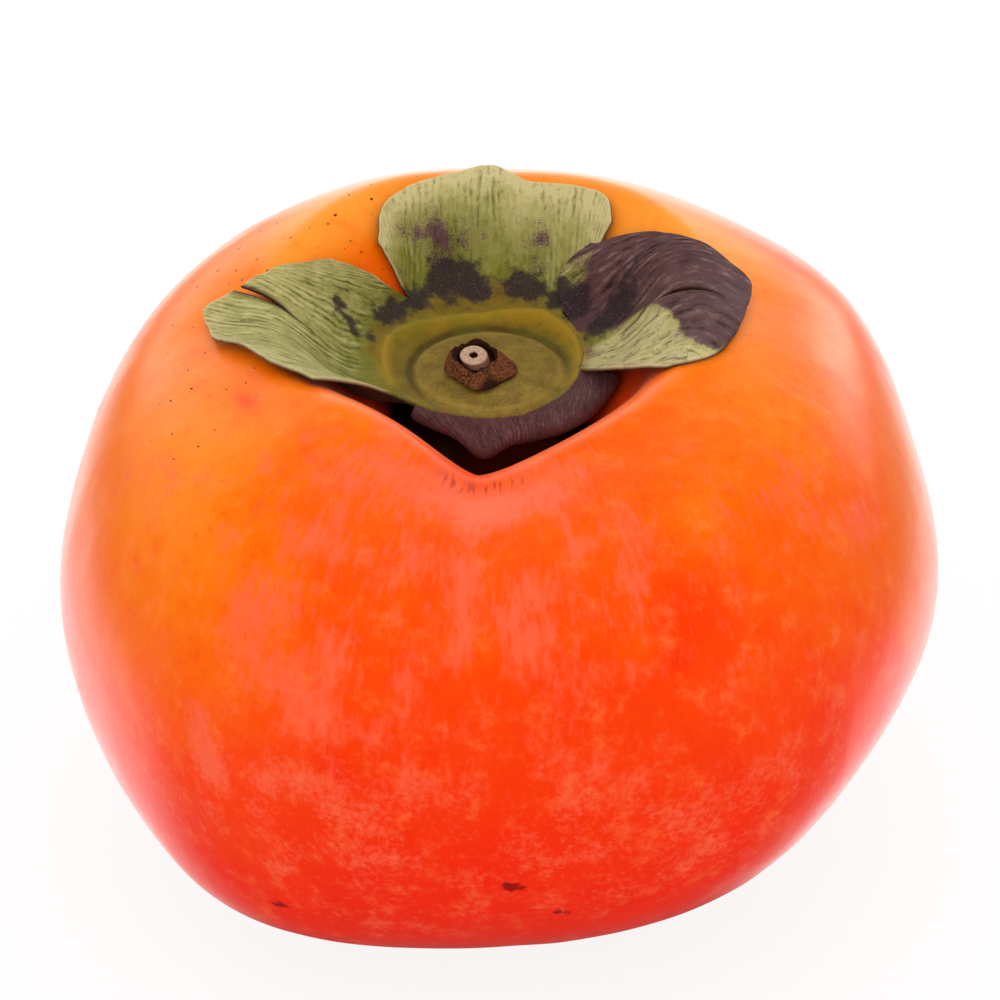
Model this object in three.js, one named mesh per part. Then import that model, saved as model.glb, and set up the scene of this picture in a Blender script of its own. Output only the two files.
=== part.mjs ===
// A ripe persimmon of the wide, squarish kind: the whole fruit, the four-lobed calyx that stays on it,
// and the torn stub of its stalk with the pale broken wood inside.
//
// Units are millimetres and degrees. +Z is up and the fruit stands on the small flat at its blossom end,
// at z = 0. Azimuth 0 points along +X, 90 along +Y (the back), and -90 towards the front, where the
// fruit has a deep notch under the calyx.

import * as THREE from 'three';

// ---------------------------------------------------------------- driving dimensions

// The fruit: a rounded square in plan, 82 mm wide, on two different superellipse profiles.
const FRUIT = {
  radius: 41,
  depthRatio: 0.985,      // front-to-back size over side-to-side size
  squareness: 0.02,       // how far the four corners of the plan stand out
  equatorHeight: 29.9,
  crown: { height: 33.4, planPower: 2.35, heightPower: 2.04 },
  base: { height: 30.1, planPower: 3.28, heightPower: 2.1 },
  lean: 0.7,              // the axis leans towards -X
  footHeight: 0.05,       // the skin is pressed flat below this height
  shiftX: 0.3,            // centres the widest part over the origin
};

// The basin around the calyx: a flat floor, a wall, and the rim where the crown begins.
const BASIN = { x: -1.0, y: 0, floorRadius: 8.6, rimRadius: 21.5, floorHeight: 18.5 };

// Furrows that cross the rim: azimuth, depth, half width on either side, where it starts, and how
// sharp its bottom is (1 is a V, 2 is rounded).
const FURROW_REACH = 9;
const FURROWS = [
  { azimuth: -93, depth: 8.0, before: 27, after: 33, start: 5.0, power: 1.4 },   // the front notch
  { azimuth: -150, depth: 2.6, before: 26, after: 26, start: 9.6, power: 2 },
  { azimuth: -42, depth: 2.9, before: 38, after: 38, start: 9.6, power: 2 },
  { azimuth: 4, depth: 2.0, before: 24, after: 24, start: 9.6, power: 1.6 },
  { azimuth: 84, depth: 0.6, before: 20, after: 20, start: 9.6, power: 1.6 },
  { azimuth: 176, depth: 3.6, before: 28, after: 28, start: 9.6, power: 1.6 },
];

// The hollow inside the notch, under the front lobe of the calyx.
const POCKET = { azimuth: -65, depth: 4.5, halfWidth: 66, from: 4.5, full: 8.5, fading: 11, to: 18 };

// Gentle swellings (+) and flats (-) that make this fruit unlike a turned shape.
const SWELLING_SPREAD = 18;
const SWELLINGS = [
  { azimuth: -2, latitude: -3, height: 0.8 },
  { azimuth: -23, latitude: -31, height: -2.0 },
  { azimuth: -46, latitude: -48, height: -0.7 },
  { azimuth: -136, latitude: -47, height: 2.1 },
  { azimuth: -160, latitude: -28, height: 0.8 },
  { azimuth: -176, latitude: -7, height: 1.3 },
  { azimuth: 43, latitude: 47, height: -1.0 },
  { azimuth: 25, latitude: 33, height: 0.7 },
  { azimuth: 10, latitude: 15, height: -0.6 },
];

const BLOSSOM_DIMPLE = { radius: 5.5, depth: 1.5 };

// The calyx: a domed middle plate in a shallow dish, then four broad lobes.
const CALYX = {
  x: -0.9, y: 0,
  gap: 0.35,              // between its underside and the basin floor
  blade: 0.7,             // thickness of a lobe
  clearance: 1.0,         // least distance of a lobe's upper face from the skin
  rib: 0.07,              // how far every other vein stands up, and its neighbours lie down
  wave: 0.2,              // how far the free edges wave in and out
  waves: 4,               // waves to a lobe
};
const PLATE = { radius: 6.95, height: 49.75, dome: 0.35, groove: 0.22, grooveWidth: 0.35 };
const DISH = { radius: 9.35, shiftBack: 2.1, shiftLeft: 0.9, slope: 0.27, backSlope: 0.33 };

// Three lobes lie on the skin. `outline` runs round the free edge from the lobe's right-hand sinus to
// its left-hand one, in plan from the calyx axis. `lift` is the distance from the skin along the right
// margin, the midrib and the left margin, at the first third, second third and end of each vein.
const LYING_LOBES = [
  {
    name: 'right', from: -6, to: 49,
    outline: [[15.0, -8.6], [18.0, -10.4], [21.1, -8.0], [23.4, -2.8], [24.2, 2.4],
      [21.4, 5.2], [17.6, 7.3], [13.4, 9.6], [9.6, 10.6]],
    lift: { right: [3.2, 1.9, 1.2], middle: [1.2, 1.2, 1.1], left: [1.8, 2.2, 2.0] },
    split: { at: -0.05, start: 0.48, end: 0.85, gap: 0.7 },
  },
  {
    name: 'back', from: 49, to: 128,
    outline: [[11.0, 12.6], [10.4, 14.4], [7.4, 16.5], [3.4, 18.0], [0.4, 20.0],
      [-3.5, 18.7], [-7.4, 16.7], [-9.9, 14.4], [-10.2, 11.6]],
    lift: { right: [1.1, 1.1, 1.1], middle: [1.1, 1.1, 1.1], left: [1.1, 1.1, 1.1] },
  },
  {
    name: 'left', from: 128, to: 208,
    outline: [[-14.8, 7.9], [-17.6, 6.6], [-19.9, 5.7], [-22.3, 4.5], [-26.2, 3.4],
      [-25.2, -0.9], [-23.0, -4.4], [-20.2, -8.3], [-15.8, -12.0]],
    lift: { right: [1.6, 1.4, 1.1], middle: [1.1, 1.1, 1.1], left: [1.05, 1.1, 1.1] },
    split: { at: -0.2, start: 0.45, end: 1, gap: 0.8 },
  },
];

// The front lobe hangs into the notch and its free end is rolled under. `fold` is the distance from
// the dish to the fold and `pitch` the slope on the way there, at equal steps from `from` to `to`.
const ROLLED_LOBE = {
  from: 208, to: 354,
  fold: [0.3, 0.3, 1.8, 1.9, 2.0, 2.4, 2.9],
  pitch: [-30, -40, -44, -42, -34, -16, -2],
  beak: { azimuth: 267, length: 1.1, halfWidth: 11 },
  rollRadius: 0.9,
  rollTurn: 130,
  tuck: 0.8,
};

// The stalk stub: a squarish cone of torn bark with a socket, and the wood ring standing in it.
// Heights are from the stub's own foot. `tilt` drops the front of its top and raises the back.
const STUB = {
  x: -1.7, y: -1.2, gap: 0.3, height: 1.5, baseRadius: 3.5, rimRadius: 2.2, corners: 0.1,
  leanX: -0.6, leanY: 0.2, tilt: 0.19, tear: 0.2,
};
const SOCKET = { radius: 1.72, depth: 0.95 };
const WOOD = { radius: 1.28, height: 0.75, pithRadius: 0.38, pithDepth: 0.4, bevel: 0.1 };

// ---------------------------------------------------------------- small mathematics

const radians = THREE.MathUtils.degToRad;
const cosine = (degrees) => Math.cos(radians(degrees));
const sine = (degrees) => Math.sin(radians(degrees));
const bell = (distance, halfWidth, power = 2) => Math.exp(-(Math.abs(distance / halfWidth) ** power));
const ramp = THREE.MathUtils.smoothstep;
const mix = THREE.MathUtils.lerp;

/** The signed angle from one azimuth to another, between -180 and 180. */
function turnBetween(azimuth, other) {
  return THREE.MathUtils.euclideanModulo(azimuth - other + 180, 360) - 180;
}

/** A smooth (Catmull-Rom) curve through equally spaced values, read at t from 0 to 1. */
function through(values, t) {
  const last = values.length - 1;
  const before = 2 * values[0] - values[1];
  const after = 2 * values[last] - values[last - 1];
  const at = (index) => (index < 0 ? before : index > last ? after : values[index]);
  const place = THREE.MathUtils.clamp(t, 0, 1) * last;
  const k = Math.min(Math.floor(place), last - 1);
  const f = place - k;
  const [p0, p1, p2, p3] = [at(k - 1), at(k), at(k + 1), at(k + 2)];
  return 0.5 * (2 * p1 + (p2 - p0) * f + (2 * p0 - 5 * p1 + 4 * p2 - p3) * f * f
    + (3 * p1 - p0 - 3 * p2 + p3) * f ** 3);
}

/** Numbers from one end to the other in equal steps, without the last one. */
function steps(first, end, count) {
  return Array.from({ length: count }, (_, k) => mix(first, end, k / count));
}

// ---------------------------------------------------------------- the fruit's skin

const UPRIGHT_TURN = new THREE.Vector3(0, 1, 0);

/** How far the skin stands out along its own direction, from the swellings. */
function swellingAt(direction) {
  let height = 0;
  for (const swelling of SWELLINGS) {
    const centre = new THREE.Vector3(
      cosine(swelling.latitude) * cosine(swelling.azimuth),
      cosine(swelling.latitude) * sine(swelling.azimuth),
      sine(swelling.latitude),
    );
    height += swelling.height * bell(THREE.MathUtils.radToDeg(direction.angleTo(centre)), SWELLING_SPREAD);
  }
  return height;
}

/** Sinks the crown into the basin, its furrows and its pocket. */
function sunkenCrown(x, y, height) {
  const dx = x - BASIN.x;
  const dy = y - BASIN.y;
  const radius = Math.hypot(dx, dy);
  const azimuth = THREE.MathUtils.radToDeg(Math.atan2(dy, dx));
  let sunken = mix(BASIN.floorHeight, height, ramp(radius, BASIN.floorRadius, BASIN.rimRadius));
  const fade = 1 - ramp(radius, BASIN.rimRadius - 2, BASIN.rimRadius + 14);
  for (const furrow of FURROWS) {
    const turn = turnBetween(azimuth, furrow.azimuth);
    const across = bell(turn, turn < 0 ? furrow.before : furrow.after, furrow.power);
    sunken -= furrow.depth * across * ramp(radius, furrow.start, furrow.start + FURROW_REACH) * fade;
  }
  const pocket = ramp(radius, POCKET.from, POCKET.full) * (1 - ramp(radius, POCKET.fading, POCKET.to));
  return sunken - POCKET.depth * bell(turnBetween(azimuth, POCKET.azimuth), POCKET.halfWidth) * pocket;
}

/** A point of the skin for a latitude (-90 blossom end, 90 stalk end) and an azimuth. */
function skinPoint(latitude, azimuth) {
  const up = latitude >= 0;
  const profile = up ? FRUIT.crown : FRUIT.base;
  const across = Math.max(cosine(latitude), 0);
  const along = Math.abs(sine(latitude));
  const radius = FRUIT.radius * across ** (2 / profile.planPower);
  const plan = radius * (1 - FRUIT.squareness * cosine(4 * azimuth));
  const x = plan * cosine(azimuth);
  const y = plan * sine(azimuth) * FRUIT.depthRatio;
  let z = profile.height * along ** (2 / profile.heightPower);
  z = up ? sunkenCrown(x, y, z) : BLOSSOM_DIMPLE.depth * (1 - ramp(radius, 0, BLOSSOM_DIMPLE.radius)) - z;
  const direction = new THREE.Vector3(across * cosine(azimuth), across * sine(azimuth), sine(latitude));
  const point = new THREE.Vector3(x, y, z).addScaledVector(direction, swellingAt(direction));
  point.applyAxisAngle(UPRIGHT_TURN, -radians(FRUIT.lean));
  point.x += FRUIT.shiftX;
  point.z = Math.max(point.z + FRUIT.equatorHeight, FRUIT.footHeight) - FRUIT.footHeight;
  return point;
}

/** The height of the crown's skin over a point of the plan, found by closing in on that point. */
function skinHeight(x, y) {
  const guess = new THREE.Vector2(x, y);
  let point;
  for (let round = 0; round < 6; round += 1) {
    const azimuth = THREE.MathUtils.radToDeg(Math.atan2(guess.y / FRUIT.depthRatio, guess.x));
    const plan = Math.hypot(guess.x, guess.y / FRUIT.depthRatio);
    const share = plan / (1 - FRUIT.squareness * cosine(4 * azimuth)) / FRUIT.radius;
    const across = Math.min(share, 1) ** (FRUIT.crown.planPower / 2);
    point = skinPoint(THREE.MathUtils.radToDeg(Math.acos(across)), azimuth);
    guess.x += x - point.x;
    guess.y += y - point.y;
  }
  return point.z;
}

/** The skin's height over a plan point, and how much longer than upright a step off the skin is. */
function skinUnder(x, y) {
  const span = 0.4;
  const height = skinHeight(x, y);
  const slopeX = (skinHeight(x + span, y) - height) / span;
  const slopeY = (skinHeight(x, y + span) - height) / span;
  return { height, steepness: Math.hypot(1, slopeX, slopeY) };
}

// ---------------------------------------------------------------- meshes

/** A closed or open triangle mesh that is filled node by node. */
class Net {
  constructor() {
    this.nodes = [];
    this.triangles = [];
  }

  /** Adds a node and gives back its number. */
  node(point, thickness = 0) {
    this.nodes.push({ point, thickness });
    return this.nodes.length - 1;
  }

  /** Adds the strip of triangles between two rows of nodes; the faces look out where a is above b. */
  strip(rowA, rowB) {
    for (let k = 0; k + 1 < rowA.length; k += 1) {
      this.triangles.push([rowA[k], rowB[k], rowB[k + 1]], [rowA[k], rowB[k + 1], rowA[k + 1]]);
    }
  }

  /** Adds the triangles that join a row to one node. */
  fan(tip, row) {
    for (let k = 0; k + 1 < row.length; k += 1) {
      this.triangles.push([tip, row[k], row[k + 1]]);
    }
  }

  /** The unit normal at every node, from the triangles round it. */
  normals() {
    const sums = this.nodes.map(() => new THREE.Vector3());
    const triangle = new THREE.Triangle();
    for (const corners of this.triangles) {
      triangle.set(...corners.map((index) => this.nodes[index].point));
      const area = triangle.getNormal(new THREE.Vector3()).multiplyScalar(triangle.getArea());
      corners.forEach((index) => sums[index].add(area));
    }
    return sums.map((sum) => sum.normalize());
  }

  /** Gives the sheet its thickness: a lower face along the normals, and a rim round every free edge. */
  thicken() {
    const count = this.nodes.length;
    const faces = [...this.triangles];
    const edges = new Set(faces.flatMap(([a, b, c]) => [`${a} ${b}`, `${b} ${c}`, `${c} ${a}`]));
    const normals = this.normals();
    for (let k = 0; k < count; k += 1) {
      const { point, thickness } = this.nodes[k];
      this.node(point.clone().addScaledVector(normals[k], -thickness));
    }
    for (const [a, b, c] of faces) {
      this.triangles.push([c + count, b + count, a + count]);
      for (const [from, to] of [[a, b], [b, c], [c, a]]) {
        if (!edges.has(`${to} ${from}`)) {
          this.triangles.push([from, from + count, to + count], [from, to + count, to]);
        }
      }
    }
  }

  /** The net as a three.js geometry. */
  geometry() {
    const geometry = new THREE.BufferGeometry();
    geometry.setFromPoints(this.nodes.map((node) => node.point));
    geometry.setIndex(this.triangles.flat());
    geometry.computeVertexNormals();
    return geometry;
  }
}

/** A closed row: the same nodes with the first one again at the end. */
const closed = (row) => [...row, row[0]];

/** A named piece with its own colour. */
function piece(name, net, colour, roughness) {
  const material = new THREE.MeshStandardMaterial({ color: colour, roughness, metalness: 0 });
  const mesh = new THREE.Mesh(net.geometry(), material);
  mesh.name = name;
  return mesh;
}

// ---------------------------------------------------------------- the fruit

const FRUIT_COLUMNS = 64;

// Rows of latitude, closest together on the wall of the basin and across the blossom end.
const FRUIT_ROWS = [
  ...steps(87, 81, 2), ...steps(81, 60, 12), ...steps(60, 46, 5), ...steps(46, -58, 16),
  ...steps(-58, -79, 5), ...steps(-79, -89.4, 5), -89.4,
];

/** The whole fruit: rows of latitude from the basin floor down to the blossom dimple. */
function fruitBody() {
  const net = new Net();
  const azimuths = steps(-180, 180, FRUIT_COLUMNS);
  const rows = FRUIT_ROWS.map((latitude) => closed(azimuths.map((a) => net.node(skinPoint(latitude, a)))));
  net.fan(net.node(skinPoint(90, 0)), rows[0]);
  for (let k = 0; k + 1 < rows.length; k += 1) {
    net.strip(rows[k], rows[k + 1]);
  }
  net.fan(net.node(skinPoint(-90, 0)), [...rows.at(-1)].reverse());
  return piece('fruit_body', net, 0xf2601c, 0.4);
}

// ---------------------------------------------------------------- the calyx

const BASIN_FLOOR = BASIN.floorHeight + FRUIT.equatorHeight - FRUIT.footHeight;

/** Radius of the rim of the dish at an azimuth: a circle whose centre lies back and to the left. */
const dishRadius = (azimuth) => DISH.radius + DISH.shiftBack * sine(azimuth) - DISH.shiftLeft * cosine(azimuth);

/** Slope of the dish at an azimuth: steep at the back and level at the front. */
const dishSlope = (azimuth) => DISH.slope + DISH.backSlope * sine(azimuth);

/** Height of the upper face of the plate and its dish. */
function dishHeight(radius, azimuth) {
  const inside = Math.max(0, 1 - (radius / PLATE.radius) ** 2);
  const groove = PLATE.groove * bell(radius - PLATE.radius - PLATE.grooveWidth, PLATE.grooveWidth);
  const over = Math.max(0, radius - PLATE.radius - 0.1);
  return PLATE.height + PLATE.dome * inside - groove + dishSlope(azimuth) * over * over / (over + 0.5);
}

/** A point given by its distance and azimuth from the calyx axis, and its height. */
function aboutCalyx(radius, azimuth, height) {
  return new THREE.Vector3(CALYX.x + radius * cosine(azimuth), CALYX.y + radius * sine(azimuth), height);
}

/** The plate down to the basin floor, thinning to a blade at the rim of the dish. */
function dishThickness(radius, azimuth) {
  const toFloor = dishHeight(radius, azimuth) - BASIN_FLOOR - CALYX.gap;
  return mix(toFloor, CALYX.blade, ramp(radius, PLATE.radius - 0.5, PLATE.radius + 0.7));
}

/** A lying lobe: across runs from -1 at its right margin to 1 at its left, along from 0 to 1. */
function lyingPoint(lobe, along, across) {
  const t = (across + 1) / 2;
  const azimuth = mix(lobe.from, lobe.to, t);
  const radius = dishRadius(azimuth);
  const root = new THREE.Vector2(radius * cosine(azimuth), radius * sine(azimuth));
  const end = new THREE.Vector2(
    through(lobe.outline.map(([x]) => x), t),
    through(lobe.outline.map(([, y]) => y), t),
  );
  end.setLength(end.length() + CALYX.wave * sine(CALYX.waves * 360 * t));
  // A vein leaves the dish square to its rim, but a margin runs straight to its end.
  const chord = end.clone().sub(root);
  const reach = chord.length() / 2;
  const leaving = new THREE.Vector2(cosine(azimuth), sine(azimuth));
  leaving.lerp(chord.normalize(), across ** 2).multiplyScalar(reach).add(root);
  const plan = new THREE.QuadraticBezierCurve(root, leaving, end).getPoint(along);

  const margin = across > 0 ? lobe.lift.left : lobe.lift.right;
  const lifts = lobe.lift.middle.map((lift, k) => mix(lift, margin[k], across ** 2));
  const skin = skinUnder(plan.x + CALYX.x, plan.y + CALYX.y);
  const free = dishHeight(radius, azimuth) + dishSlope(azimuth) * plan.distanceTo(root);
  const settled = skin.height + through([lifts[0], ...lifts], along) * skin.steepness;
  const lowest = skin.height + CALYX.clearance * skin.steepness;
  const height = Math.max(mix(free, settled, ramp(along, 0, 0.5)), lowest);
  return new THREE.Vector3(plan.x + CALYX.x, plan.y + CALYX.y, height);
}

/** The rolled lobe: down its slope to the fold, round the roll, and back under. */
function rolledPoint(lobe, along, across) {
  const t = (across + 1) / 2;
  const azimuth = mix(lobe.from, lobe.to, t);
  const beak = lobe.beak.length * bell(azimuth - lobe.beak.azimuth, lobe.beak.halfWidth);
  const fold = through(lobe.fold, t) + beak;
  const pitch = through(lobe.pitch, t);
  const arc = lobe.rollRadius * radians(lobe.rollTurn);
  const travelled = along * (fold + arc + lobe.tuck);
  const onSlope = Math.min(travelled, fold);
  const turned = THREE.MathUtils.clamp((travelled - fold) / arc, 0, 1) * lobe.rollTurn;
  const tucked = Math.max(0, travelled - fold - arc);
  // The roll turns about a line one radius under the slope.
  const out = onSlope * cosine(pitch) + lobe.rollRadius * (sine(pitch) - sine(pitch - turned))
    + tucked * cosine(pitch - turned);
  const up = onSlope * sine(pitch) - lobe.rollRadius * (cosine(pitch) - cosine(pitch - turned))
    + tucked * sine(pitch - turned);
  const radius = dishRadius(azimuth);
  return aboutCalyx(radius + out, azimuth, dishHeight(radius, azimuth) + up);
}

const VEIN_STEP = 5;          // degrees of the dish's rim to each vein
const LOBE_ROWS = 11;

/** Rows of a lobe from the dish's rim outwards; a split lobe gives two blocks that share its root. */
function lobeBlocks(net, lobe, pointAt, rootRow) {
  const veins = rootRow.length - 1;
  const column = lobe.split ? Math.round((lobe.split.at + 1) / 2 * veins) : veins;
  const left = [rootRow.slice(0, column + 1)];
  const right = [rootRow.slice(column)];
  for (let k = 1; k <= LOBE_ROWS; k += 1) {
    const along = k / LOBE_ROWS;
    const points = steps(-1, 1, veins).concat(1).map((across) => pointAt(lobe, along, across));
    points.forEach((point, vein) => {
      point.z += CALYX.rib * (vein % 2 ? 1 : -1) * ramp(along, 0, 0.4);
    });
    const row = points.map((point) => net.node(point, CALYX.blade));
    left.push(row.slice(0, column + 1));
    right.push(row.slice(column));
    if (lobe.split && along > lobe.split.start && (along < lobe.split.end || lobe.split.end === 1)) {
      const share = (along - lobe.split.start) / (lobe.split.end - lobe.split.start);
      const opening = lobe.split.end === 1 ? share : Math.sin(share * Math.PI);
      const aside = points[column + 1].clone().sub(points[column - 1]).setLength(lobe.split.gap * opening / 2);
      const torn = points[column].clone().sub(aside);
      left.at(-1)[column] = net.node(torn, CALYX.blade);
      points[column].add(aside);
    }
  }
  return [left, right];
}

/** The whole calyx: plate, dish and four lobes as one sheet, thickened downwards. */
function calyx() {
  const net = new Net();
  const lobes = [
    ...LYING_LOBES.map((lobe) => ({ ...lobe, pointAt: lyingPoint })),
    { ...ROLLED_LOBE, pointAt: rolledPoint },
  ];
  for (const lobe of lobes) {
    lobe.veins = Math.round((lobe.to - lobe.from) / VEIN_STEP);
  }
  const azimuths = lobes.flatMap((lobe) => steps(lobe.from, lobe.to, lobe.veins));

  const plateRadii = [2.4, 4.4, 6.0, PLATE.radius - 0.1, PLATE.radius + 0.15];
  const dishShares = [0.35, 0.7, 1];
  const node = (radius, a) => net.node(aboutCalyx(radius, a, dishHeight(radius, a)), dishThickness(radius, a));
  const rows = plateRadii.map((radius) => azimuths.map((a) => node(radius, a)));
  for (const share of dishShares) {
    rows.push(azimuths.map((a) => node(mix(plateRadii.at(-1), dishRadius(a), share), a)));
  }
  const centre = aboutCalyx(0, 0, dishHeight(0, 0));
  net.fan(net.node(centre, dishThickness(0, 0)), closed(rows[0]));
  for (let k = 0; k + 1 < rows.length; k += 1) {
    net.strip(closed(rows[k]), closed(rows[k + 1]));
  }

  const rim = closed(rows.at(-1));
  let first = 0;
  for (const lobe of lobes) {
    const rootRow = rim.slice(first, first + lobe.veins + 1);
    for (const block of lobeBlocks(net, lobe, lobe.pointAt, rootRow)) {
      for (let k = 0; k + 1 < block.length; k += 1) {
        net.strip(block[k], block[k + 1]);
      }
    }
    first += lobe.veins;
  }
  net.thicken();
  return piece('calyx', net, 0x6f7a3a, 0.75);
}

// ---------------------------------------------------------------- the stalk stub

const STUB_SIDES = 28;
const STUB_FOOT = PLATE.height + PLATE.dome + STUB.gap;
const ROUND = { corners: 0, tear: 0 };

/** A point on or off the stub's leaning axis, with the tilt its height has reached. */
function stubPoint(radius, azimuth, height) {
  const rise = height / STUB.height;
  return new THREE.Vector3(
    STUB.x + STUB.leanX * rise + radius * cosine(azimuth),
    STUB.y + STUB.leanY * rise + radius * sine(azimuth),
    STUB_FOOT + height + STUB.tilt * rise * radius * sine(azimuth),
  );
}

/** A closed row about the stub's axis; bark is squarish, and `tear` sends it up and down. */
function stubRow(net, radius, height, { corners = STUB.corners, tear = 0 } = {}) {
  return closed(steps(0, 360, STUB_SIDES).map((azimuth, k) => {
    const around = radius * (1 - corners * (cosine(4 * azimuth + 30) - 0.4 * sine(3 * azimuth)));
    const ragged = tear * (sine(5 * azimuth + 40) + 0.7 * sine(9 * azimuth) + (k % 2 ? 0.5 : -0.5)) / 2;
    return net.node(stubPoint(around, azimuth, height + ragged));
  }));
}

/** A closed solid from rows that run from its middle, over its top and down to its foot. */
function stubSolid(name, rows, firstHeight, lastHeight, colour, roughness) {
  const net = new Net();
  const nodes = rows.map(([radius, height, shape]) => stubRow(net, radius, height, shape));
  net.fan(net.node(stubPoint(0, 0, firstHeight)), nodes[0]);
  for (let k = 0; k + 1 < nodes.length; k += 1) {
    net.strip(nodes[k], nodes[k + 1]);
  }
  net.fan(net.node(stubPoint(0, 0, lastHeight)), [...nodes.at(-1)].reverse());
  return piece(name, net, colour, roughness);
}

/** The bark: out of the socket, over the torn rim and down the cone. */
function stemBark() {
  const floor = STUB.height - SOCKET.depth;
  const torn = { tear: STUB.tear };
  return stubSolid('stem_bark', [
    [SOCKET.radius - 0.1, floor, ROUND],
    [SOCKET.radius, STUB.height - 0.2, { corners: 0.03, tear: STUB.tear }],
    [STUB.rimRadius - 0.2, STUB.height, torn],
    [STUB.rimRadius + 0.1, STUB.height - 0.3, torn],
    [STUB.baseRadius - 0.25, 0.5],
    [STUB.baseRadius, 0.15],
    [STUB.baseRadius - 0.1, 0],
  ], floor, 0, 0x5a3420, 0.9);
}

/** The broken wood: a short pale cylinder with a pith hollow, standing in the bark's socket. */
function stemWood() {
  const foot = STUB.height - SOCKET.depth + STUB.gap;
  const top = foot + WOOD.height;
  return stubSolid('stem_wood', [
    [WOOD.pithRadius * 0.8, top - WOOD.pithDepth, ROUND],
    [WOOD.pithRadius, top, ROUND],
    [WOOD.radius - WOOD.bevel, top, ROUND],
    [WOOD.radius, top - WOOD.bevel, ROUND],
    [WOOD.radius, foot, ROUND],
  ], top - WOOD.pithDepth, foot, 0xc9a888, 0.8);
}

// ---------------------------------------------------------------- the persimmon

const persimmon = new THREE.Group();
persimmon.add(fruitBody(), calyx(), stemBark(), stemWood());

export default persimmon;
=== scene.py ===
"""A ripe persimmon, standing on a pale studio floor.

The waxy fruit, its dry four-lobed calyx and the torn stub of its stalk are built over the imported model
and in its frame: metres, +Z up through the stalk, and the notch in the fruit's shoulder towards -Y.
Sizes and places inside the classes are in millimetres and degrees. Azimuth 0 is +X and 90 is +Y.
"""

import logging
import math
from dataclasses import dataclass, field
from enum import Enum
from functools import partial
from typing import Callable, Sequence

import bpy
import numpy as np
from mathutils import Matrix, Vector


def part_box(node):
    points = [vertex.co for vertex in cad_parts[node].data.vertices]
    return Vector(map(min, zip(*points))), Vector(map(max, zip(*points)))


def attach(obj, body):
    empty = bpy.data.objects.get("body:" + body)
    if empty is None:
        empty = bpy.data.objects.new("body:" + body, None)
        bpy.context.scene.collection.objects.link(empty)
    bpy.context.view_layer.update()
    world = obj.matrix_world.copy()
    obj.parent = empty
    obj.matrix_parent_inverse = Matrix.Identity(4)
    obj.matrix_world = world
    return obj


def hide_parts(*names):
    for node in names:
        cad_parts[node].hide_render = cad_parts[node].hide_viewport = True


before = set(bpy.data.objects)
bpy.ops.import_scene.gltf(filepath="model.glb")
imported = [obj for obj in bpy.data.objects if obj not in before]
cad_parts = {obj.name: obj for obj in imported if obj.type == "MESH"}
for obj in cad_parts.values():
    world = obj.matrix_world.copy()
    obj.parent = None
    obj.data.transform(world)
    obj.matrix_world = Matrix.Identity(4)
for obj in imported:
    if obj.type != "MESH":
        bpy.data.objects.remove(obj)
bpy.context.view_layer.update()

MM = 0.001
LOG = logging.getLogger("persimmon")

Array = np.ndarray


# ---------------------------------------------------------------- small mathematics


def cosine(degrees: Array | float) -> Array | float:
    """Cosine of an angle in degrees."""
    return np.cos(np.radians(degrees))


def sine(degrees: Array | float) -> Array | float:
    """Sine of an angle in degrees."""
    return np.sin(np.radians(degrees))


def mix(first: Array | float, second: Array | float, share: Array | float) -> Array | float:
    """Straight blend from first (share 0) to second (share 1)."""
    return first + (second - first) * share


def ramp(value: Array | float, low: float, high: float) -> Array | float:
    """Smooth step: 0 below low, 1 above high, and 3t^2 - 2t^3 in between."""
    t = np.clip((value - low) / (high - low), 0.0, 1.0)
    return t * t * (3.0 - 2.0 * t)


def bell(distance: Array | float, half_width: Array | float, power: float = 2.0) -> Array | float:
    """A hump of height 1: e to the minus (distance over half width) to the power."""
    return np.exp(-(np.abs(distance / half_width) ** power))


def at_least(value: Array, floor: Array, softness: float = 0.12) -> Array:
    """The larger of two arrays, with the corner between them rounded off over `softness`."""
    return floor + softness * np.logaddexp(0.0, (value - floor) / softness)


def turn_between(azimuth: Array | float, other: float) -> Array | float:
    """The signed angle from one azimuth to another, between -180 and 180."""
    return (azimuth - other + 180.0) % 360.0 - 180.0


def through(values: Sequence[float] | Array, t: Array) -> Array:
    """A smooth (Catmull-Rom) curve through equally spaced values.

    Args:
        values: the values, along the first axis; each may itself be an array of t's shape.
        t: where to read the curve, from 0 at the first value to 1 at the last.

    Returns:
        The curve's value at each t.
    """
    values = np.asarray(values, dtype=float)
    last = len(values) - 1
    ends = np.concatenate([[2 * values[0] - values[1]], values, [2 * values[-1] - values[-2]]])
    place = np.clip(t, 0.0, 1.0) * last
    k = np.minimum(place.astype(int), last - 1)
    f = place - k
    if ends.ndim > 1:
        p0, p1, p2, p3 = (np.take_along_axis(ends, (k + step)[None], axis=0)[0] for step in range(4))
    else:
        p0, p1, p2, p3 = (ends[k + step] for step in range(4))
    return 0.5 * (
        2 * p1 + (p2 - p0) * f + (2 * p0 - 5 * p1 + 4 * p2 - p3) * f**2 + (3 * p1 - p0 - 3 * p2 + p3) * f**3
    )


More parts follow.
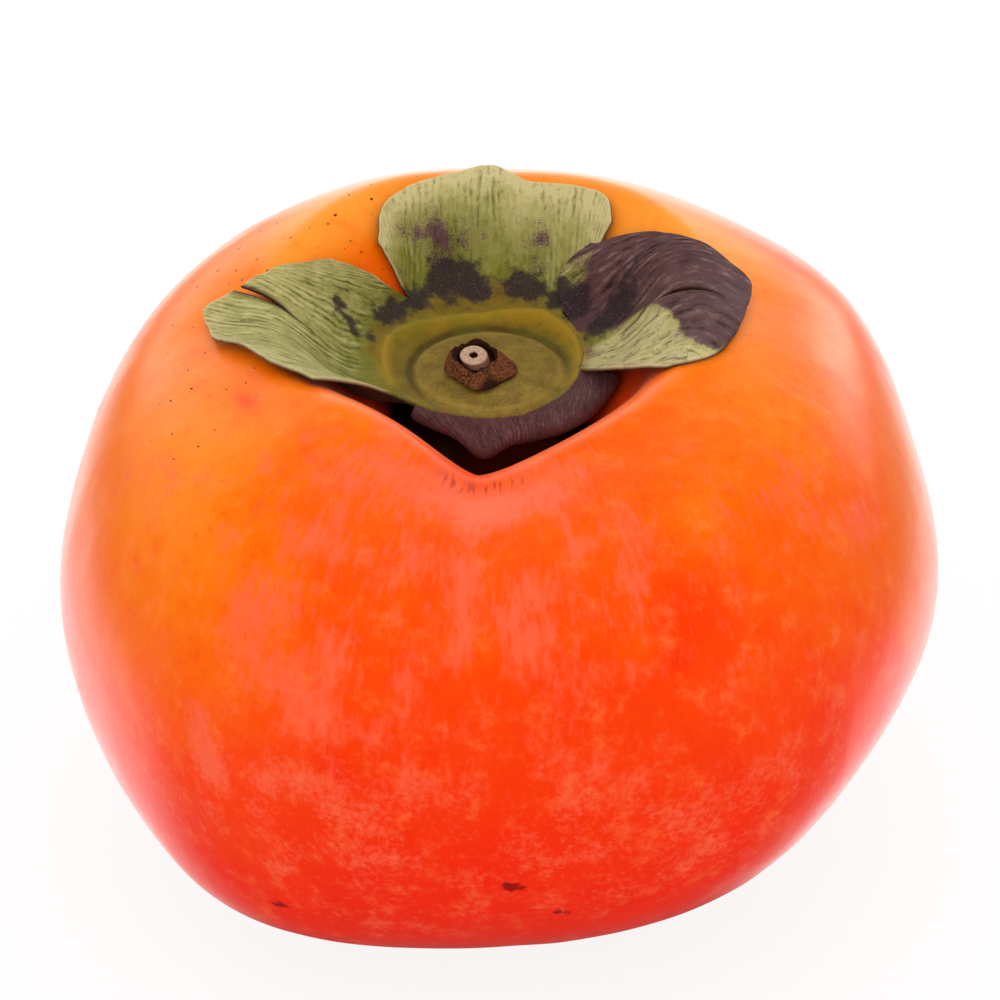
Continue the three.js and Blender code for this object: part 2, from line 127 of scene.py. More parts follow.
@dataclass
class SoftNoise:
    """Smooth seeded noise in space: random heights on a cubic lattice, joined by smooth steps."""

    seed: int
    size: int = 64
    table: Array = field(init=False, repr=False)

    def __post_init__(self) -> None:
        """Fills the lattice with heights from -1 to 1."""
        self.table = np.random.default_rng(self.seed).uniform(-1.0, 1.0, (self.size,) * 3)

    def at(self, points: Array, cell: float) -> Array:
        """Reads the noise.

        Args:
            points: places, with x, y and z along the last axis.
            cell: size of one lattice cell, in the points' own unit.

        Returns:
            A height from -1 to 1 for each place.
        """
        place = points / cell
        corner = np.floor(place).astype(int)
        f = place - corner
        f = f * f * (3.0 - 2.0 * f)
        total = np.zeros(points.shape[:-1])
        for dx, dy, dz in np.ndindex(2, 2, 2):
            weight = np.abs(1 - dx - f[..., 0]) * np.abs(1 - dy - f[..., 1]) * np.abs(1 - dz - f[..., 2])
            x, y, z = ((corner[..., axis] + step) % self.size for axis, step in enumerate((dx, dy, dz)))
            total += weight * self.table[x, y, z]
        return total

    def layered(self, points: Array, cell: float, layers: int = 3) -> Array:
        """The noise with finer layers added, each half the cell and half the height of the last.

        Args:
            points: places, with x, y and z along the last axis.
            cell: size of the first layer's lattice cell, in the points' own unit.
            layers: how many layers.

        Returns:
            A height for each place.
        """
        total = np.zeros(points.shape[:-1])
        for layer in range(layers):
            total += self.at(points + 7.3 * layer, cell / 2**layer) / 2**layer
        return total


# ---------------------------------------------------------------- meshes


@dataclass
class Net:
    """Points in millimetres and the triangles between them, with named values at the points."""

    points: Array
    triangles: Array
    values: dict[str, Array] = field(default_factory=dict)

    @staticmethod
    def strips(index: Array) -> Array:
        """Triangles between the rows of a grid of points.

        Args:
            index: the points' numbers. The triangles face out where rows run down and columns round.

        Returns:
            Two triangles for each cell of the grid.
        """
        a, b, c, d = index[:-1, :-1], index[1:, :-1], index[1:, 1:], index[:-1, 1:]
        return np.concatenate([
            np.stack([a, b, c], axis=-1).reshape(-1, 3),
            np.stack([a, c, d], axis=-1).reshape(-1, 3),
        ])

    @staticmethod
    def fan(tip: int, row: Array) -> Array:
        """Triangles that join a row of point numbers to one point."""
        return np.stack([np.full(len(row) - 1, tip), row[:-1], row[1:]], axis=-1)

    def welded(self, tolerance: float = 1e-4) -> "Net":
        """The net with points at the same place made one, and triangles without area left out.

        Args:
            tolerance: how near counts as the same place, in millimetres.

        Returns:
            The welded net, with the values of the first point at each place.
        """
        keys = np.round(self.points / tolerance).astype(np.int64)
        _, first, number = np.unique(keys, axis=0, return_index=True, return_inverse=True)
        triangles = number.reshape(-1)[self.triangles]
        a, b, c = triangles.T
        triangles = triangles[(a != b) & (b != c) & (c != a)]
        return Net(self.points[first], triangles, {name: value[first] for name, value in self.values.items()})

    def normals(self) -> Array:
        """The unit normal at each point: the sum of its triangles' normals, weighted by area.

        Returns:
            One normal for each point.
        """
        a, b, c = (self.points[self.triangles[:, corner]] for corner in range(3))
        areas = np.cross(b - a, c - a)
        sums = np.zeros_like(self.points)
        for corner in range(3):
            for axis in range(3):
                sums[:, axis] += np.bincount(
                    self.triangles[:, corner], weights=areas[:, axis], minlength=len(self.points)
                )
        return sums / np.maximum(np.linalg.norm(sums, axis=1, keepdims=True), 1e-12)

    def thickened(self, thickness: Array) -> "Net":
        """Gives a sheet its thickness.

        The lower face is the sheet moved against its normals, with its triangles turned round, and each
        free edge of the sheet gets a rim.

        Args:
            thickness: one value for each point.

        Returns:
            The closed net. The value "under" is 1 on its lower face.
        """
        count = len(self.points)
        lower = self.points - self.normals() * thickness[:, None]
        edges = self.triangles[:, [0, 1, 1, 2, 2, 0]].reshape(-1, 2)
        code = edges[:, 0] * count + edges[:, 1]
        free = edges[~np.isin(code, edges[:, 1] * count + edges[:, 0])]
        rim = np.concatenate([
            np.stack([free[:, 0], free[:, 0] + count, free[:, 1] + count], axis=-1),
            np.stack([free[:, 0], free[:, 1] + count, free[:, 1]], axis=-1),
        ])
        triangles = np.concatenate([self.triangles, self.triangles[:, ::-1] + count, rim])
        values = {name: np.concatenate([value, value]) for name, value in self.values.items()}
        values["under"] = np.repeat([0.0, 1.0], count)
        return Net(np.concatenate([self.points, lower]), triangles, values)

    def fitted(self, node_name: str) -> None:
        """Scales the net by the few hundredths of a millimetre that bring it into a node's box.

        Args:
            node_name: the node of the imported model.
        """
        low, high = (np.array(corner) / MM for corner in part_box(node_name))
        own_low, own_high = self.points.min(axis=0), self.points.max(axis=0)
        LOG.info("%s is off its node's box by %s and %s", node_name, own_low - low, own_high - high)
        self.points = low + (self.points - own_low) * (high - low) / (own_high - own_low)

    def into_object(
        self, name: str, node_name: str, slot: str, material: bpy.types.Material
    ) -> bpy.types.Object:
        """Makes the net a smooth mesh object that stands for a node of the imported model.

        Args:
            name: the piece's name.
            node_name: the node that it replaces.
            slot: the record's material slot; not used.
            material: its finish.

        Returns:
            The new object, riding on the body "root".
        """
        self.fitted(node_name)
        mesh = bpy.data.meshes.new(name)
        mesh.vertices.add(len(self.points))
        mesh.vertices.foreach_set("co", (self.points * MM).astype(np.float32).ravel())
        mesh.loops.add(self.triangles.size)
        mesh.loops.foreach_set("vertex_index", self.triangles.astype(np.int32).ravel())
        mesh.polygons.add(len(self.triangles))
        mesh.polygons.foreach_set("loop_start", np.arange(0, self.triangles.size, 3, dtype=np.int32))
        mesh.update(calc_edges=True)
        mesh.validate()
        mesh.shade_smooth()
        for value_name, value in self.values.items():
            if value.ndim == 2:
                layer = mesh.attributes.new(value_name, "FLOAT_VECTOR", "POINT")
                layer.data.foreach_set("vector", value.astype(np.float32).ravel())
            else:
                layer = mesh.attributes.new(value_name, "FLOAT", "POINT")
                layer.data.foreach_set("value", value.astype(np.float32))
        mesh.materials.append(material)
        piece = bpy.data.objects.new(name, mesh)
        bpy.context.scene.collection.objects.link(piece)
        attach(piece, "root")
        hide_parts(node_name)
        LOG.info("%s: %d triangles, stands for %s", name, len(self.triangles), node_name)
        return piece


# ---------------------------------------------------------------- finishes


SMOOTH = {"interpolation_type": "SMOOTHSTEP"}   # makes a MapRange ease in and out


def colour(hex_value: str) -> tuple[float, float, float, float]:
    """Turns an sRGB hex colour to linear light.

    Args:
        hex_value: the colour, such as "#F67200".

    Returns:
        The red, green, blue and alpha that a shader takes.
    """
    parts = [int(hex_value[k : k + 2], 16) / 255.0 for k in (1, 3, 5)]
    linear = [part / 12.92 if part <= 0.04045 else ((part + 0.055) / 1.055) ** 2.4 for part in parts]
    return (*linear, 1.0)


def per_mm(size: float) -> float:
    """The scale at which a pattern read in metres repeats every so many millimetres."""
    return 1.0 / (size * MM)


@dataclass(frozen=True)
class Signal:
    """What a node gives at each point of a surface; sums and products of signals are signals."""

    painter: "Painter"
    socket: bpy.types.NodeSocket

    def __add__(self, other: "Signal | float") -> "Signal":
        """The sum of two signals, or of a signal and a number."""
        return self.painter.add("Math", self, other, operation="ADD")

    def __sub__(self, other: "Signal | float") -> "Signal":
        """The difference of two signals, or of a signal and a number."""
        return self.painter.add("Math", self, other, operation="SUBTRACT")

    def __mul__(self, other: "Signal | float") -> "Signal":
        """The product of two signals, or of a signal and a number."""
        return self.painter.add("Math", self, other, operation="MULTIPLY")

    def beside(self, name: str) -> "Signal":
        """Another output of the same node."""
        return Signal(self.painter, self.socket.node.outputs[name])


@dataclass
class Painter:
    """One material, with the one function that adds its nodes."""

    name: str
    material: bpy.types.Material = field(init=False)

    def __post_init__(self) -> None:
        """Makes the material, without a node."""
        self.material = bpy.data.materials.new(self.name)
        self.material.use_nodes = True
        self.material.node_tree.nodes.clear()

    def add(self, kind: str, *values: object, out: str | None = None, **named: object) -> Signal:
        """Adds one node with its settings and links.

        Args:
            kind: the node's type without its prefix, such as Mix.
            values: its first inputs in order: numbers, colours, or signals, which are linked.
            out: the output that is wanted, or None for the first.
            named: inputs by name, with _ for a space; a name in small letters is a setting instead.

        Returns:
            What the node gives.
        """
        tree = self.material.node_tree
        new = tree.nodes.new("ShaderNode" + kind)
        for name, value in named.items():
            if name.islower():
                setattr(new, name, value)
        given = list(zip((socket for socket in new.inputs if socket.enabled), values))
        given += [(new.inputs[name.replace("_", " ")], named[name]) for name in named if not name.islower()]
        for socket, value in given:
            if isinstance(value, Signal):
                tree.links.new(value.socket, socket)
            elif value is not None:
                socket.default_value = value
        fitting = (socket for socket in new.outputs if socket.enabled and out in (None, socket.name))
        return Signal(self, next(fitting, None))

    def coats(self, paint: Signal | str, *over: tuple[Signal, Signal | str]) -> Signal:
        """Lays coats of paint over one another, as a straight blend by each coat's share.

        Args:
            paint: what lies under them all, a hex colour or a signal.
            over: for each coat its share, from 0 to 1, and its hex colour or signal.

        Returns:
            The colour that shows.
        """
        for share, top in over:
            under, top = (colour(side) if isinstance(side, str) else side for side in (paint, top))
            paint = self.add("Mix", share, under, top, data_type="RGBA", clamp_factor=True)
        return paint

    def relief(self, *heights: tuple[Signal, float]) -> Signal:
        """Lays reliefs over one another.

        Args:
            heights: for each relief its height, and the millimetres that a height of 1 stands for.

        Returns:
            The bumped normal.
        """
        normal = None
        for height, millimetres in heights:
            normal = self.add("Bump", Height=height, Distance=millimetres * MM, Strength=1.0, Normal=normal)
        return normal

    def finish(self, **inputs: object) -> bpy.types.Material:
        """Gives the material its surface, a Principled shader with the given inputs."""
        self.add("OutputMaterial", self.add("BsdfPrincipled", **inputs))
        return self.material


@dataclass(frozen=True)
class WaxySkin:
    """Ripe persimmon skin: thin, tight and waxed, so soft lights lie on it as broad pale sheens.

    Under the wax the flesh glows from golden orange to scarlet. Where the dull bloom still lies the skin
    looks coral pink, in ragged patches that run with the meridians on the shoulders and break into fine
    specks lower down.
    """

    # From amber on the crown to scarlet at the foot: the amber is partly painted sheen, and the deeper red
    # towards the foot partly painted shade.
    amber: str = "#FB952E"
    golden: str = "#F67200"
    orange: str = "#F94000"
    scarlet: str = "#F42200"
    peach: str = "#FF9650"
    deep: str = "#EE2A00"
    coral: str = "#FA6444"
    bruise: str = "#9A0A06"
    freckle: str = "#5A2416"
    # Painted shade, nearly black, laid in the hollow under the calyx.
    hollow_shade: str = "#1C0503"
    scar: str = "#3A2416"
    drift_mm: float = 9.0         # size of the drifts of riper and paler flesh
    mottle_mm: float = 2.6        # size of the faint pale and deep mottles that lie all over
    cloud_mm: float = 4.0         # size of the bloom's ragged patches
    streak_mm: float = 0.55       # width of its streaks on the shoulders
    speck_mm: float = 0.6         # size of its specks lower down
    ragged_mm: float = 0.7        # size of the lobes on a bruise's edge
    freckle_mm: float = 1.9       # spacing of the freckles
    freckle_least: float = 0.02   # radius of the smallest, as a share of their spacing
    freckle_range: float = 0.075  # how much wider than that they vary
    wave_mm: float = 3.0          # width of the gentle waves down the meridians
    wave_height: float = 0.05     # and their height in millimetres
    fibre_mm: float = 0.5         # width of the fine fibres that break up the sheen
    fibre_height: float = 0.022   # and their height in millimetres
    roughness: float = 0.3
    dullness: float = 0.14        # how much rougher the bloom is
    ior: float = 1.45

    def material(self) -> bpy.types.Material:
        """Colours the flesh by how ripe it is, with painted shade at the foot and painted sheen on the crown,
        lays the bloom on it, adds bruises and freckles, and paints shade into the hollow under the calyx.

        Returns:
            The finish, ready to put on a mesh.
        """
        p = Painter("persimmon_skin")
        here = p.add("TexCoord", out="Object")
        along, belt = (p.add("Attribute", attribute_name=name, out="Vector") for name in ("meridian", "belt"))
        ripeness_and_painted_light, bloom, streaked, lip, bruise, freckle, scar, hollow = (
            p.add("Attribute", attribute_name=name, out="Fac")
            for name in ("ripeness_and_painted_light", "bloom", "streaked", "lip", "bruise", "freckle", "scar", "hollow")
        )

        drift = p.add("TexNoise", here, per_mm(self.drift_mm), 6.0, 0.62)
        ripeness_and_painted_light = ripeness_and_painted_light + (drift - 0.5) * 0.5
        mottle = p.add("TexNoise", here, per_mm(self.mottle_mm), 7.0, 0.72)
        flesh = p.coats(
            self.amber,
            (p.add("MapRange", ripeness_and_painted_light, -0.5, 0.0), self.golden),
            (p.add("MapRange", ripeness_and_painted_light, 0.0, 0.5), self.orange),
            (p.add("MapRange", ripeness_and_painted_light, 0.5, 1.0), self.scarlet),
            (p.add("MapRange", mottle, 0.5, 0.72, 0.0, 0.28, **SMOOTH), self.peach),
            (p.add("MapRange", mottle, 0.48, 0.3, 0.0, 0.3, **SMOOTH), self.deep),
        )

        clouds = p.add("TexNoise", here, per_mm(self.cloud_mm), 3.0, 0.6)
        streaks = p.add("TexNoise", along, 1.0 / self.streak_mm, 5.0, 0.7)
        specks = p.add("TexNoise", here, per_mm(self.speck_mm), 5.0, 0.7)
        fine = p.add("Mix", streaked, specks, streaks)
        bloom = bloom + (fine - 0.5) * 4.0 + (clouds - 0.5) * 3.0
        cover = p.add("MapRange", bloom, -0.2, 1.4, **SMOOTH)

        strokes = p.add("TexNoise", along, 1.0 / self.streak_mm, 2.0, 0.5)
        strokes = p.add("MapRange", strokes, 0.45, 0.6, **SMOOTH) * lip
        ragged = p.add("TexNoise", here, per_mm(self.ragged_mm), 3.0, 0.5)
        bruise = p.add("MapRange", bruise + (ragged - 0.5) * 1.2, 0.35, 0.7, **SMOOTH)
        cells = p.add("TexVoronoi", belt, 1.0 / self.freckle_mm, voronoi_dimensions="2D", Randomness=1.0)
        size = (cells.beside("Color") * self.freckle_range + self.freckle_least) * freckle
        dots = p.add("MapRange", cells - size, 0.0, -0.03, **SMOOTH)
        skin = p.coats(
            flesh, (cover * 0.8, self.coral), (strokes, self.bruise), (bruise, self.bruise),
            # the last coat is painted shade in the hollow under the calyx
            (dots, self.freckle), (scar, self.scar), (hollow, self.hollow_shade),
        )

        waves = p.add("TexNoise", along, 1.0 / self.wave_mm, 2.0, 0.5)
        fibres = p.add("TexNoise", along, 1.0 / self.fibre_mm, 3.0, 0.5)
        return p.finish(
            Base_Color=skin, Roughness=cover * self.dullness + self.roughness, IOR=self.ior,
            Normal=p.relief((waves, self.wave_height), (fibres, self.fibre_height)),
            Specular_IOR_Level=0.3, Specular_Tint=(1.0, 0.55, 0.2, 1.0),
            Subsurface_Weight=0.2, Subsurface_Radius=(1.0, 0.35, 0.12), Subsurface_Scale=1.6 * MM,
            Sheen_Weight=0.1, Sheen_Roughness=0.3,
        )


@dataclass(frozen=True)
class DryLeaf:
    """A dried calyx leaf: matt, finely felted with short hairs, ribbed by its veins.

    It dries from green at the root through grey olive to straw at its rims, and its blotches are
    purple-black, as frost and handling leave them. The middle plate and the dish stay olive.
    """

    green: str = "#6E6E1C"
    grey_olive: str = "#9A9352"
    straw: str = "#C2B47C"
    # Painted highlight on the ridge tops, then painted shade in the vein valleys:
    crest: str = "#C6BE8E"
    valley_shade: str = "#3F3A1C"
    rim: str = "#DCC998"
    # The wall's dark, which also stands as painted shade in the groove and the dip behind the plate:
    wall_dark: str = "#523E04"
    wall: str = "#94740E"
    wall_green: str = "#586614"
    plate_dark: str = "#624C0C"
    plate: str = "#907628"
    plum_dark: str = "#38161E"
    plum: str = "#663E48"
    # Painted highlight on the purple's ridge tops, then painted shade in its valleys:
    plum_crest_highlight: str = "#9C7672"
    plum_valley_shade: str = "#1D0A0F"
    blot_dark: str = "#1E1216"
    blot: str = "#3E2C30"
    # The lobes' undersides, darker than their own brown, as painted shade under them.
    shaded_underside: str = "#35280F"
    torn: str = "#3B150C"
    hair: str = "#E4DCC0"
    pit: str = "#231C0E"
    vein_mm: float = 0.6          # spacing of the fine veins
    vein_height: float = 0.17     # their height beside the wrinkles'
    wander_mm: float = 1.3        # how far apart the veins wander differently
    wander: float = 11.0          # how far they wander, in radians of their wave
    fading_mm: float = 1.1        # how far apart they fade in and out
    wrinkle_mm: float = 0.36      # spacing of the finer wrinkles
    crinkle: float = 3.5          # how much closer they lie along the veins than the map's own length
    cloud_mm: float = 1.8         # size of the drier and greener patches
    moss_mm: float = 2.4          # size of the green patches on the dish's wall
    ragged_mm: float = 1.1        # size of the lobes on a blot's edge
    felt_mm: float = 0.13         # the felt's grain, coarser than real hairs so that it shows
    roughness: float = 0.75

    def material(self) -> bpy.types.Material:
        """Paints the zones that the mesh marks, with painted highlights on the ridge tops, the dish's crest
        and the plate's shoulder, and painted shade in the vein valleys, the groove behind the plate and on
        the lobes' undersides, and roughens them with veins and felt.

        Returns:
            The finish, ready to put on a mesh.
        """
        p = Painter("dried_calyx_leaf")
        here = p.add("TexCoord", out="Object")
        vein = p.add("Attribute", attribute_name="vein", out="Vector")
        dish, middle, fold, dry, ribbed, crest, purple, blotted, rim, torn, under = (
            p.add("Attribute", attribute_name=name, out="Fac")
            for name in (
                "wall", "plate", "fold", "dry", "ribbed", "crest", "plum", "blot", "rim", "torn", "under",
            )
        )
        felt = p.add("TexNoise", here, per_mm(self.felt_mm), 2.0, 0.6)
        cloud = p.add("TexNoise", here, per_mm(self.cloud_mm), 5.0, 0.62)
        patches = cloud - 0.5
        mottle = (felt - 0.5) * 0.9

        crinkled = p.add("VectorMath", vein, (1.0, self.crinkle, 1.0), operation="MULTIPLY")
        wander = p.add("TexNoise", crinkled, 1.0 / self.wander_mm, 3.0, 0.6) * self.wander
        turned = p.add("SeparateXYZ", vein) * (math.tau / self.vein_mm) + wander
        fading = p.add("TexNoise", vein, 1.0 / self.fading_mm, 2.0, 0.5)
        fading = p.add("MapRange", fading, 0.3, 0.7, 0.0, self.vein_height, **SMOOTH)
        veins = p.add("Math", turned, operation="SINE") * fading
        wrinkles = veins + p.add("TexNoise", crinkled, 1.0 / self.wrinkle_mm, 4.0, 0.65)
        lines = wrinkles - 0.5
        # Ridge heights that paint highlights on the ridge tops (high) and shade in the vein valleys (low):
        height = crest * 0.4 + lines * 2.6
        high = p.add("MapRange", height, 0.1, 0.9, **SMOOTH) * ribbed
        low = p.add("MapRange", height, -0.1, -0.8, **SMOOTH) * ribbed

        moss = p.add("TexNoise", here, per_mm(self.moss_mm), 3.0, 0.5)
        # The dish's wall, with painted highlight along its crest and painted shade in the groove and the dip
        # behind the plate.
        wall = p.coats(
            self.wall_dark,
            (p.add("MapRange", fold + patches * 0.9, -0.6, 0.7, **SMOOTH), self.wall),
            (p.add("MapRange", moss, 0.42, 0.62, 0.0, 0.35, **SMOOTH), self.wall_green),
        )
        # The plate, with painted highlight on its shoulder and painted shade in its groove.
        tone = felt * 0.45 + cloud * 0.55 + fold * 0.25
        plate = p.coats(self.plate_dark, (p.add("MapRange", tone, 0.3, 0.7, **SMOOTH), self.plate))
        # The purple, with painted highlights on its ridge tops and painted shade in its valleys.
        plum = p.coats(
            self.plum_dark, (cloud, self.plum), (high * 0.55, self.plum_crest_highlight), (low * 0.9, self.plum_valley_shade),
        )
        blot = p.coats(self.blot_dark, (p.add("MapRange", felt, 0.3, 0.75, **SMOOTH), self.blot))

        dry = dry + patches + lines * ribbed
        purple = purple + patches * 1.3 + lines * 0.5 + mottle
        ragged = p.add("TexNoise", here, per_mm(self.ragged_mm), 4.0, 0.62)
        blotted = blotted + (ragged - 0.5) * 1.9 + mottle
        leaf = p.coats(
            self.green,
            (p.add("MapRange", dry, 0.0, 0.5), self.grey_olive),
            (p.add("MapRange", dry, 0.5, 1.0), self.straw),
            (dish, wall),
            (middle, plate),
            # painted highlight on the ridge tops, then painted shade in the vein valleys
            (high * 0.35, self.crest),
            (low * 0.75, self.valley_shade),
            (p.add("MapRange", purple, 0.3, 0.65, 0.0, 0.95, **SMOOTH), plum),
            (p.add("MapRange", blotted, 0.15, 0.75, 0.0, 0.92, **SMOOTH), blot),
            (rim, self.rim),
            (torn, self.torn),
            # painted shade on the lobes' undersides
            (under, self.shaded_underside),
            (p.add("MapRange", felt, 0.62, 0.82, 0.0, 0.22, **SMOOTH), self.hair),
            (p.add("MapRange", felt, 0.42, 0.22, 0.0, 0.35, **SMOOTH), self.pit),
        )
        return p.finish(
            Base_Color=leaf, Roughness=self.roughness, IOR=1.4, Specular_IOR_Level=0.25,
            Normal=p.relief((wrinkles * ribbed, 0.08), (felt, 0.04)), Sheen_Weight=0.06, Sheen_Roughness=0.5,
        )


@dataclass(frozen=True)
class TornBark:
    """Torn stalk bark: brown, corky and dry, nearly black in its socket and over its torn rim, on its front
    corner and at its foot.

    Its faces are lumpy and finely grained, and its broken rim is crumbled.
    """

    brown: str = "#643418"
    light: str = "#946640"
    dark: str = "#240804"
    lump_mm: float = 1.3          # size of the cork's darker and lighter lumps
    grain_mm: float = 0.22        # size of the grain on them

    def material(self) -> bpy.types.Material:
        """Grains the bark and darkens the torn rim, the front corner and the foot.

        Returns:
            The finish, ready to put on a mesh.
        """
        p = Painter("torn_stalk_bark")
        here = p.add("TexCoord", out="Object")
        torn = p.add("Attribute", attribute_name="torn", out="Fac")
        lumps = p.add("TexNoise", here, per_mm(self.lump_mm), 4.0, 0.65)
        grain = p.add("TexNoise", here, per_mm(self.grain_mm), 3.0, 0.7)
        bark = p.coats(
            self.dark,
            (p.add("MapRange", lumps, 0.3, 0.55, **SMOOTH), self.brown),
            (p.add("MapRange", grain, 0.46, 0.7, 0.0, 0.6, **SMOOTH), self.light),
            (p.add("MapRange", grain, 0.46, 0.3, 0.0, 0.7, **SMOOTH), self.dark),
            (p.add("MapRange", torn + (grain - 0.5) * 1.6, 0.25, 0.7, 0.0, 0.92, **SMOOTH), self.dark),
        )
        normal = p.relief((lumps, 0.16), (grain, 0.1))
        return p.finish(Base_Color=bark, Roughness=0.85, IOR=1.4, Normal=normal, Specular_IOR_Level=0.25)


@dataclass(frozen=True)
class BrokenWood:
    """Dry broken stalk wood: pale and finely pored, with a dark pith."""

    pale: str = "#BE9C80"
    brown: str = "#7E563E"
    pith: str = "#1E100A"
    pore_mm: float = 0.22         # size of the pores

    def material(self) -> bpy.types.Material:
        """Speckles the wood with pores and darkens it towards the pith and the edge.

        Returns:
            The finish, ready to put on a mesh.
        """
        p = Painter("broken_stalk_wood")
        edge, pith = (p.add("Attribute", attribute_name=name, out="Fac") for name in ("edge", "pith"))
        pores = p.add("TexNoise", p.add("TexCoord", out="Object"), per_mm(self.pore_mm), 3.0, 0.7)
        wood = p.coats(
            self.brown, (p.add("MapRange", pores, 0.2, 0.6, **SMOOTH), self.pale),
            (edge, self.brown), (pith, self.pith),
        )
        normal = p.relief((pores, 0.08))
        return p.finish(Base_Color=wood, Roughness=0.75, IOR=1.4, Normal=normal, Specular_IOR_Level=0.3)


# ---------------------------------------------------------------- the fruit


@dataclass(frozen=True)
class Profile:
    """Half of the fruit's upright section: a superellipse with its height and two powers."""

    height: float
    plan_power: float
    height_power: float


@dataclass(frozen=True)
class Furrow:
    """A furrow that crosses the rim of the basin.

    `before` and `after` are its half widths in degrees, on the side of the lower and of the higher
    azimuths. It sets in at `start` from the basin's axis, and `power` is that of its bell.
    """

    azimuth: float
    depth: float
    before: float
    after: float
    start: float = 9.6
    power: float = 2.0


@dataclass(frozen=True)
class Swelling:
    """A gentle swelling (+) or flat (-) of the skin."""

    azimuth: float
    latitude: float
    height: float

    def direction(self) -> Array:
        """The unit direction that it lies in."""
        level = cosine(self.latitude)
        return np.array([level * cosine(self.azimuth), level * sine(self.azimuth), sine(self.latitude)])


@dataclass(frozen=True)
class Patch:
    """An oval patch on the skin: its middle, half width, half height along the meridian, strength."""

    x: float
    y: float
    z: float
    wide: float
    tall: float
    strength: float = 1.0

    def cover(self, points: Array) -> Array:
        """How strongly the patch covers each point: a bell across it times a bell along it.

        Args:
            points: the skin's points.

        Returns:
            One strength for each point.
        """
        offset = points - np.array([self.x, self.y, self.z])
        reach = math.hypot(self.x, self.y)
        across = (offset[..., 1] * self.x - offset[..., 0] * self.y) / reach
        along = np.sqrt(np.maximum((offset**2).sum(axis=-1) - across**2, 0.0))
        return self.strength * bell(across, self.wide) * bell(along, self.tall)


# Where the dull bloom still lies, from the notch outwards and down the front.
BLOOM_PATCHES = (
    Patch(-2.4, -27.2, 51.0, 1.4, 3.4), Patch(0.3, -28.2, 51.2, 2.2, 3.0, 0.8),
    Patch(-2.8, -34.0, 48.0, 1.3, 3.4), Patch(-3.4, -35.8, 45.1, 1.2, 3.0),
    Patch(2.9, -34.1, 48.0, 2.4, 2.2, 0.8), Patch(2.9, -36.4, 44.0, 3.0, 3.6),
    Patch(-7.9, -31.2, 50.2, 1.8, 2.0, 0.7), Patch(3.0, -22.9, 52.1, 4.5, 3.2, 1.1),
    Patch(-7.6, -23.9, 52.7, 4.5, 4.0, 1.2), Patch(10.8, -28.4, 52.0, 2.0, 3.2, 0.8),
    Patch(11.9, -33.0, 47.7, 1.4, 2.4), Patch(6.7, -31.3, 50.5, 0.8, 2.2, 0.8),
    Patch(-21.2, -33.0, 40.2, 3.2, 2.6), Patch(-14.7, -35.0, 42.1, 1.9, 3.6),
    Patch(-16.8, -36.1, 36.3, 4.4, 3.4, 1.1), Patch(-27.1, -30.9, 30.9, 1.8, 3.2),
    Patch(-25.3, -32.3, 27.7, 2.0, 2.6), Patch(-20.5, -35.1, 28.4, 2.8, 2.3),
    Patch(-16.4, -36.9, 29.7, 3.0, 2.2, 0.8), Patch(-13.2, -37.8, 26.9, 3.0, 2.2, 0.8),
    Patch(-11.9, -37.4, 21.9, 2.6, 1.6), Patch(-8.3, -38.8, 31.6, 3.2, 2.8, 0.8),
    Patch(-7.7, -37.2, 40.7, 1.6, 3.4, 0.9), Patch(-19.8, -33.8, 18.2, 2.0, 1.4, 0.7),
    Patch(-9.6, -34.2, 11.9, 3.4, 1.0, 0.6), Patch(-21.2, -21.1, 53.0, 1.5, 1.6, 0.5),
    Patch(-14.9, -23.1, 53.9, 3.0, 2.6, 0.7), Patch(-16.1, -28.7, 50.5, 3.4, 3.0, 0.9),
    Patch(-20.3, -30.9, 45.3, 3.8, 2.8, 1.0), Patch(-23.7, -25.8, 48.6, 1.4, 1.4, 0.7),
    Patch(32.4, -18.6, 45.7, 2.4, 3.4, 0.8), Patch(25.0, -22.2, 51.3, 2.4, 3.0, 0.7),
    Patch(21.0, -30.3, 46.3, 1.0, 3.0, 0.8), Patch(31.0, -6.3, 52.2, 2.2, 3.0, 0.6),
    Patch(8.5, -38.0, 32.0, 6.0, 3.0, 0.6), Patch(18.0, -35.0, 26.0, 8.0, 3.5, 0.6),
    Patch(20.0, -32.0, 20.0, 9.0, 2.5, 0.6),
)

# Where the flesh is riper and redder than round about, and where it is paler and more golden;
# the golden patches high on the crown are partly painted sheen.
RED_PATCHES = (
    Patch(16.8, -33.7, 43.7, 4.6, 5.0, 0.5), Patch(15.6, -35.0, 41.5, 1.0, 0.9, 0.7),
    Patch(-14.9, -37.4, 31.2, 1.7, 1.7, 0.8), Patch(-12.5, -35.0, 14.6, 2.4, 1.0, 0.8),
    Patch(0.1, -39.3, 24.9, 9.0, 4.0, 0.3), Patch(35.0, -22.3, 29.4, 2.8, 6.0, 0.8),
    Patch(29.6, -29.1, 33.0, 2.2, 2.6, 0.5), Patch(6.0, -38.0, 38.0, 8.0, 4.0, 0.25),
    Patch(-22.8, -12.2, 54.0, 1.8, 1.0, 0.9),
)
GOLDEN_PATCHES = (
    Patch(-30.4, -17.8, 48.1, 8.0, 8.0, 0.45), Patch(-26.7, -18.9, 50.9, 6.0, 7.0, 0.4),
    Patch(-14.7, 11.1, 57.0, 12.0, 6.0, 0.6), Patch(-22.9, -27.8, 47.2, 7.0, 5.0, 0.35),
    Patch(17.7, -26.8, 51.8, 4.0, 5.0, 0.6), Patch(25.1, -15.5, 54.1, 8.0, 6.0, 0.5),
    Patch(14.0, 10.0, 57.0, 12.0, 8.0, 0.8), Patch(12.4, -35.2, 43.6, 2.4, 2.4, 0.4),
    Patch(-22.5, -31.5, 18.5, 6.0, 5.0, 0.8),
)

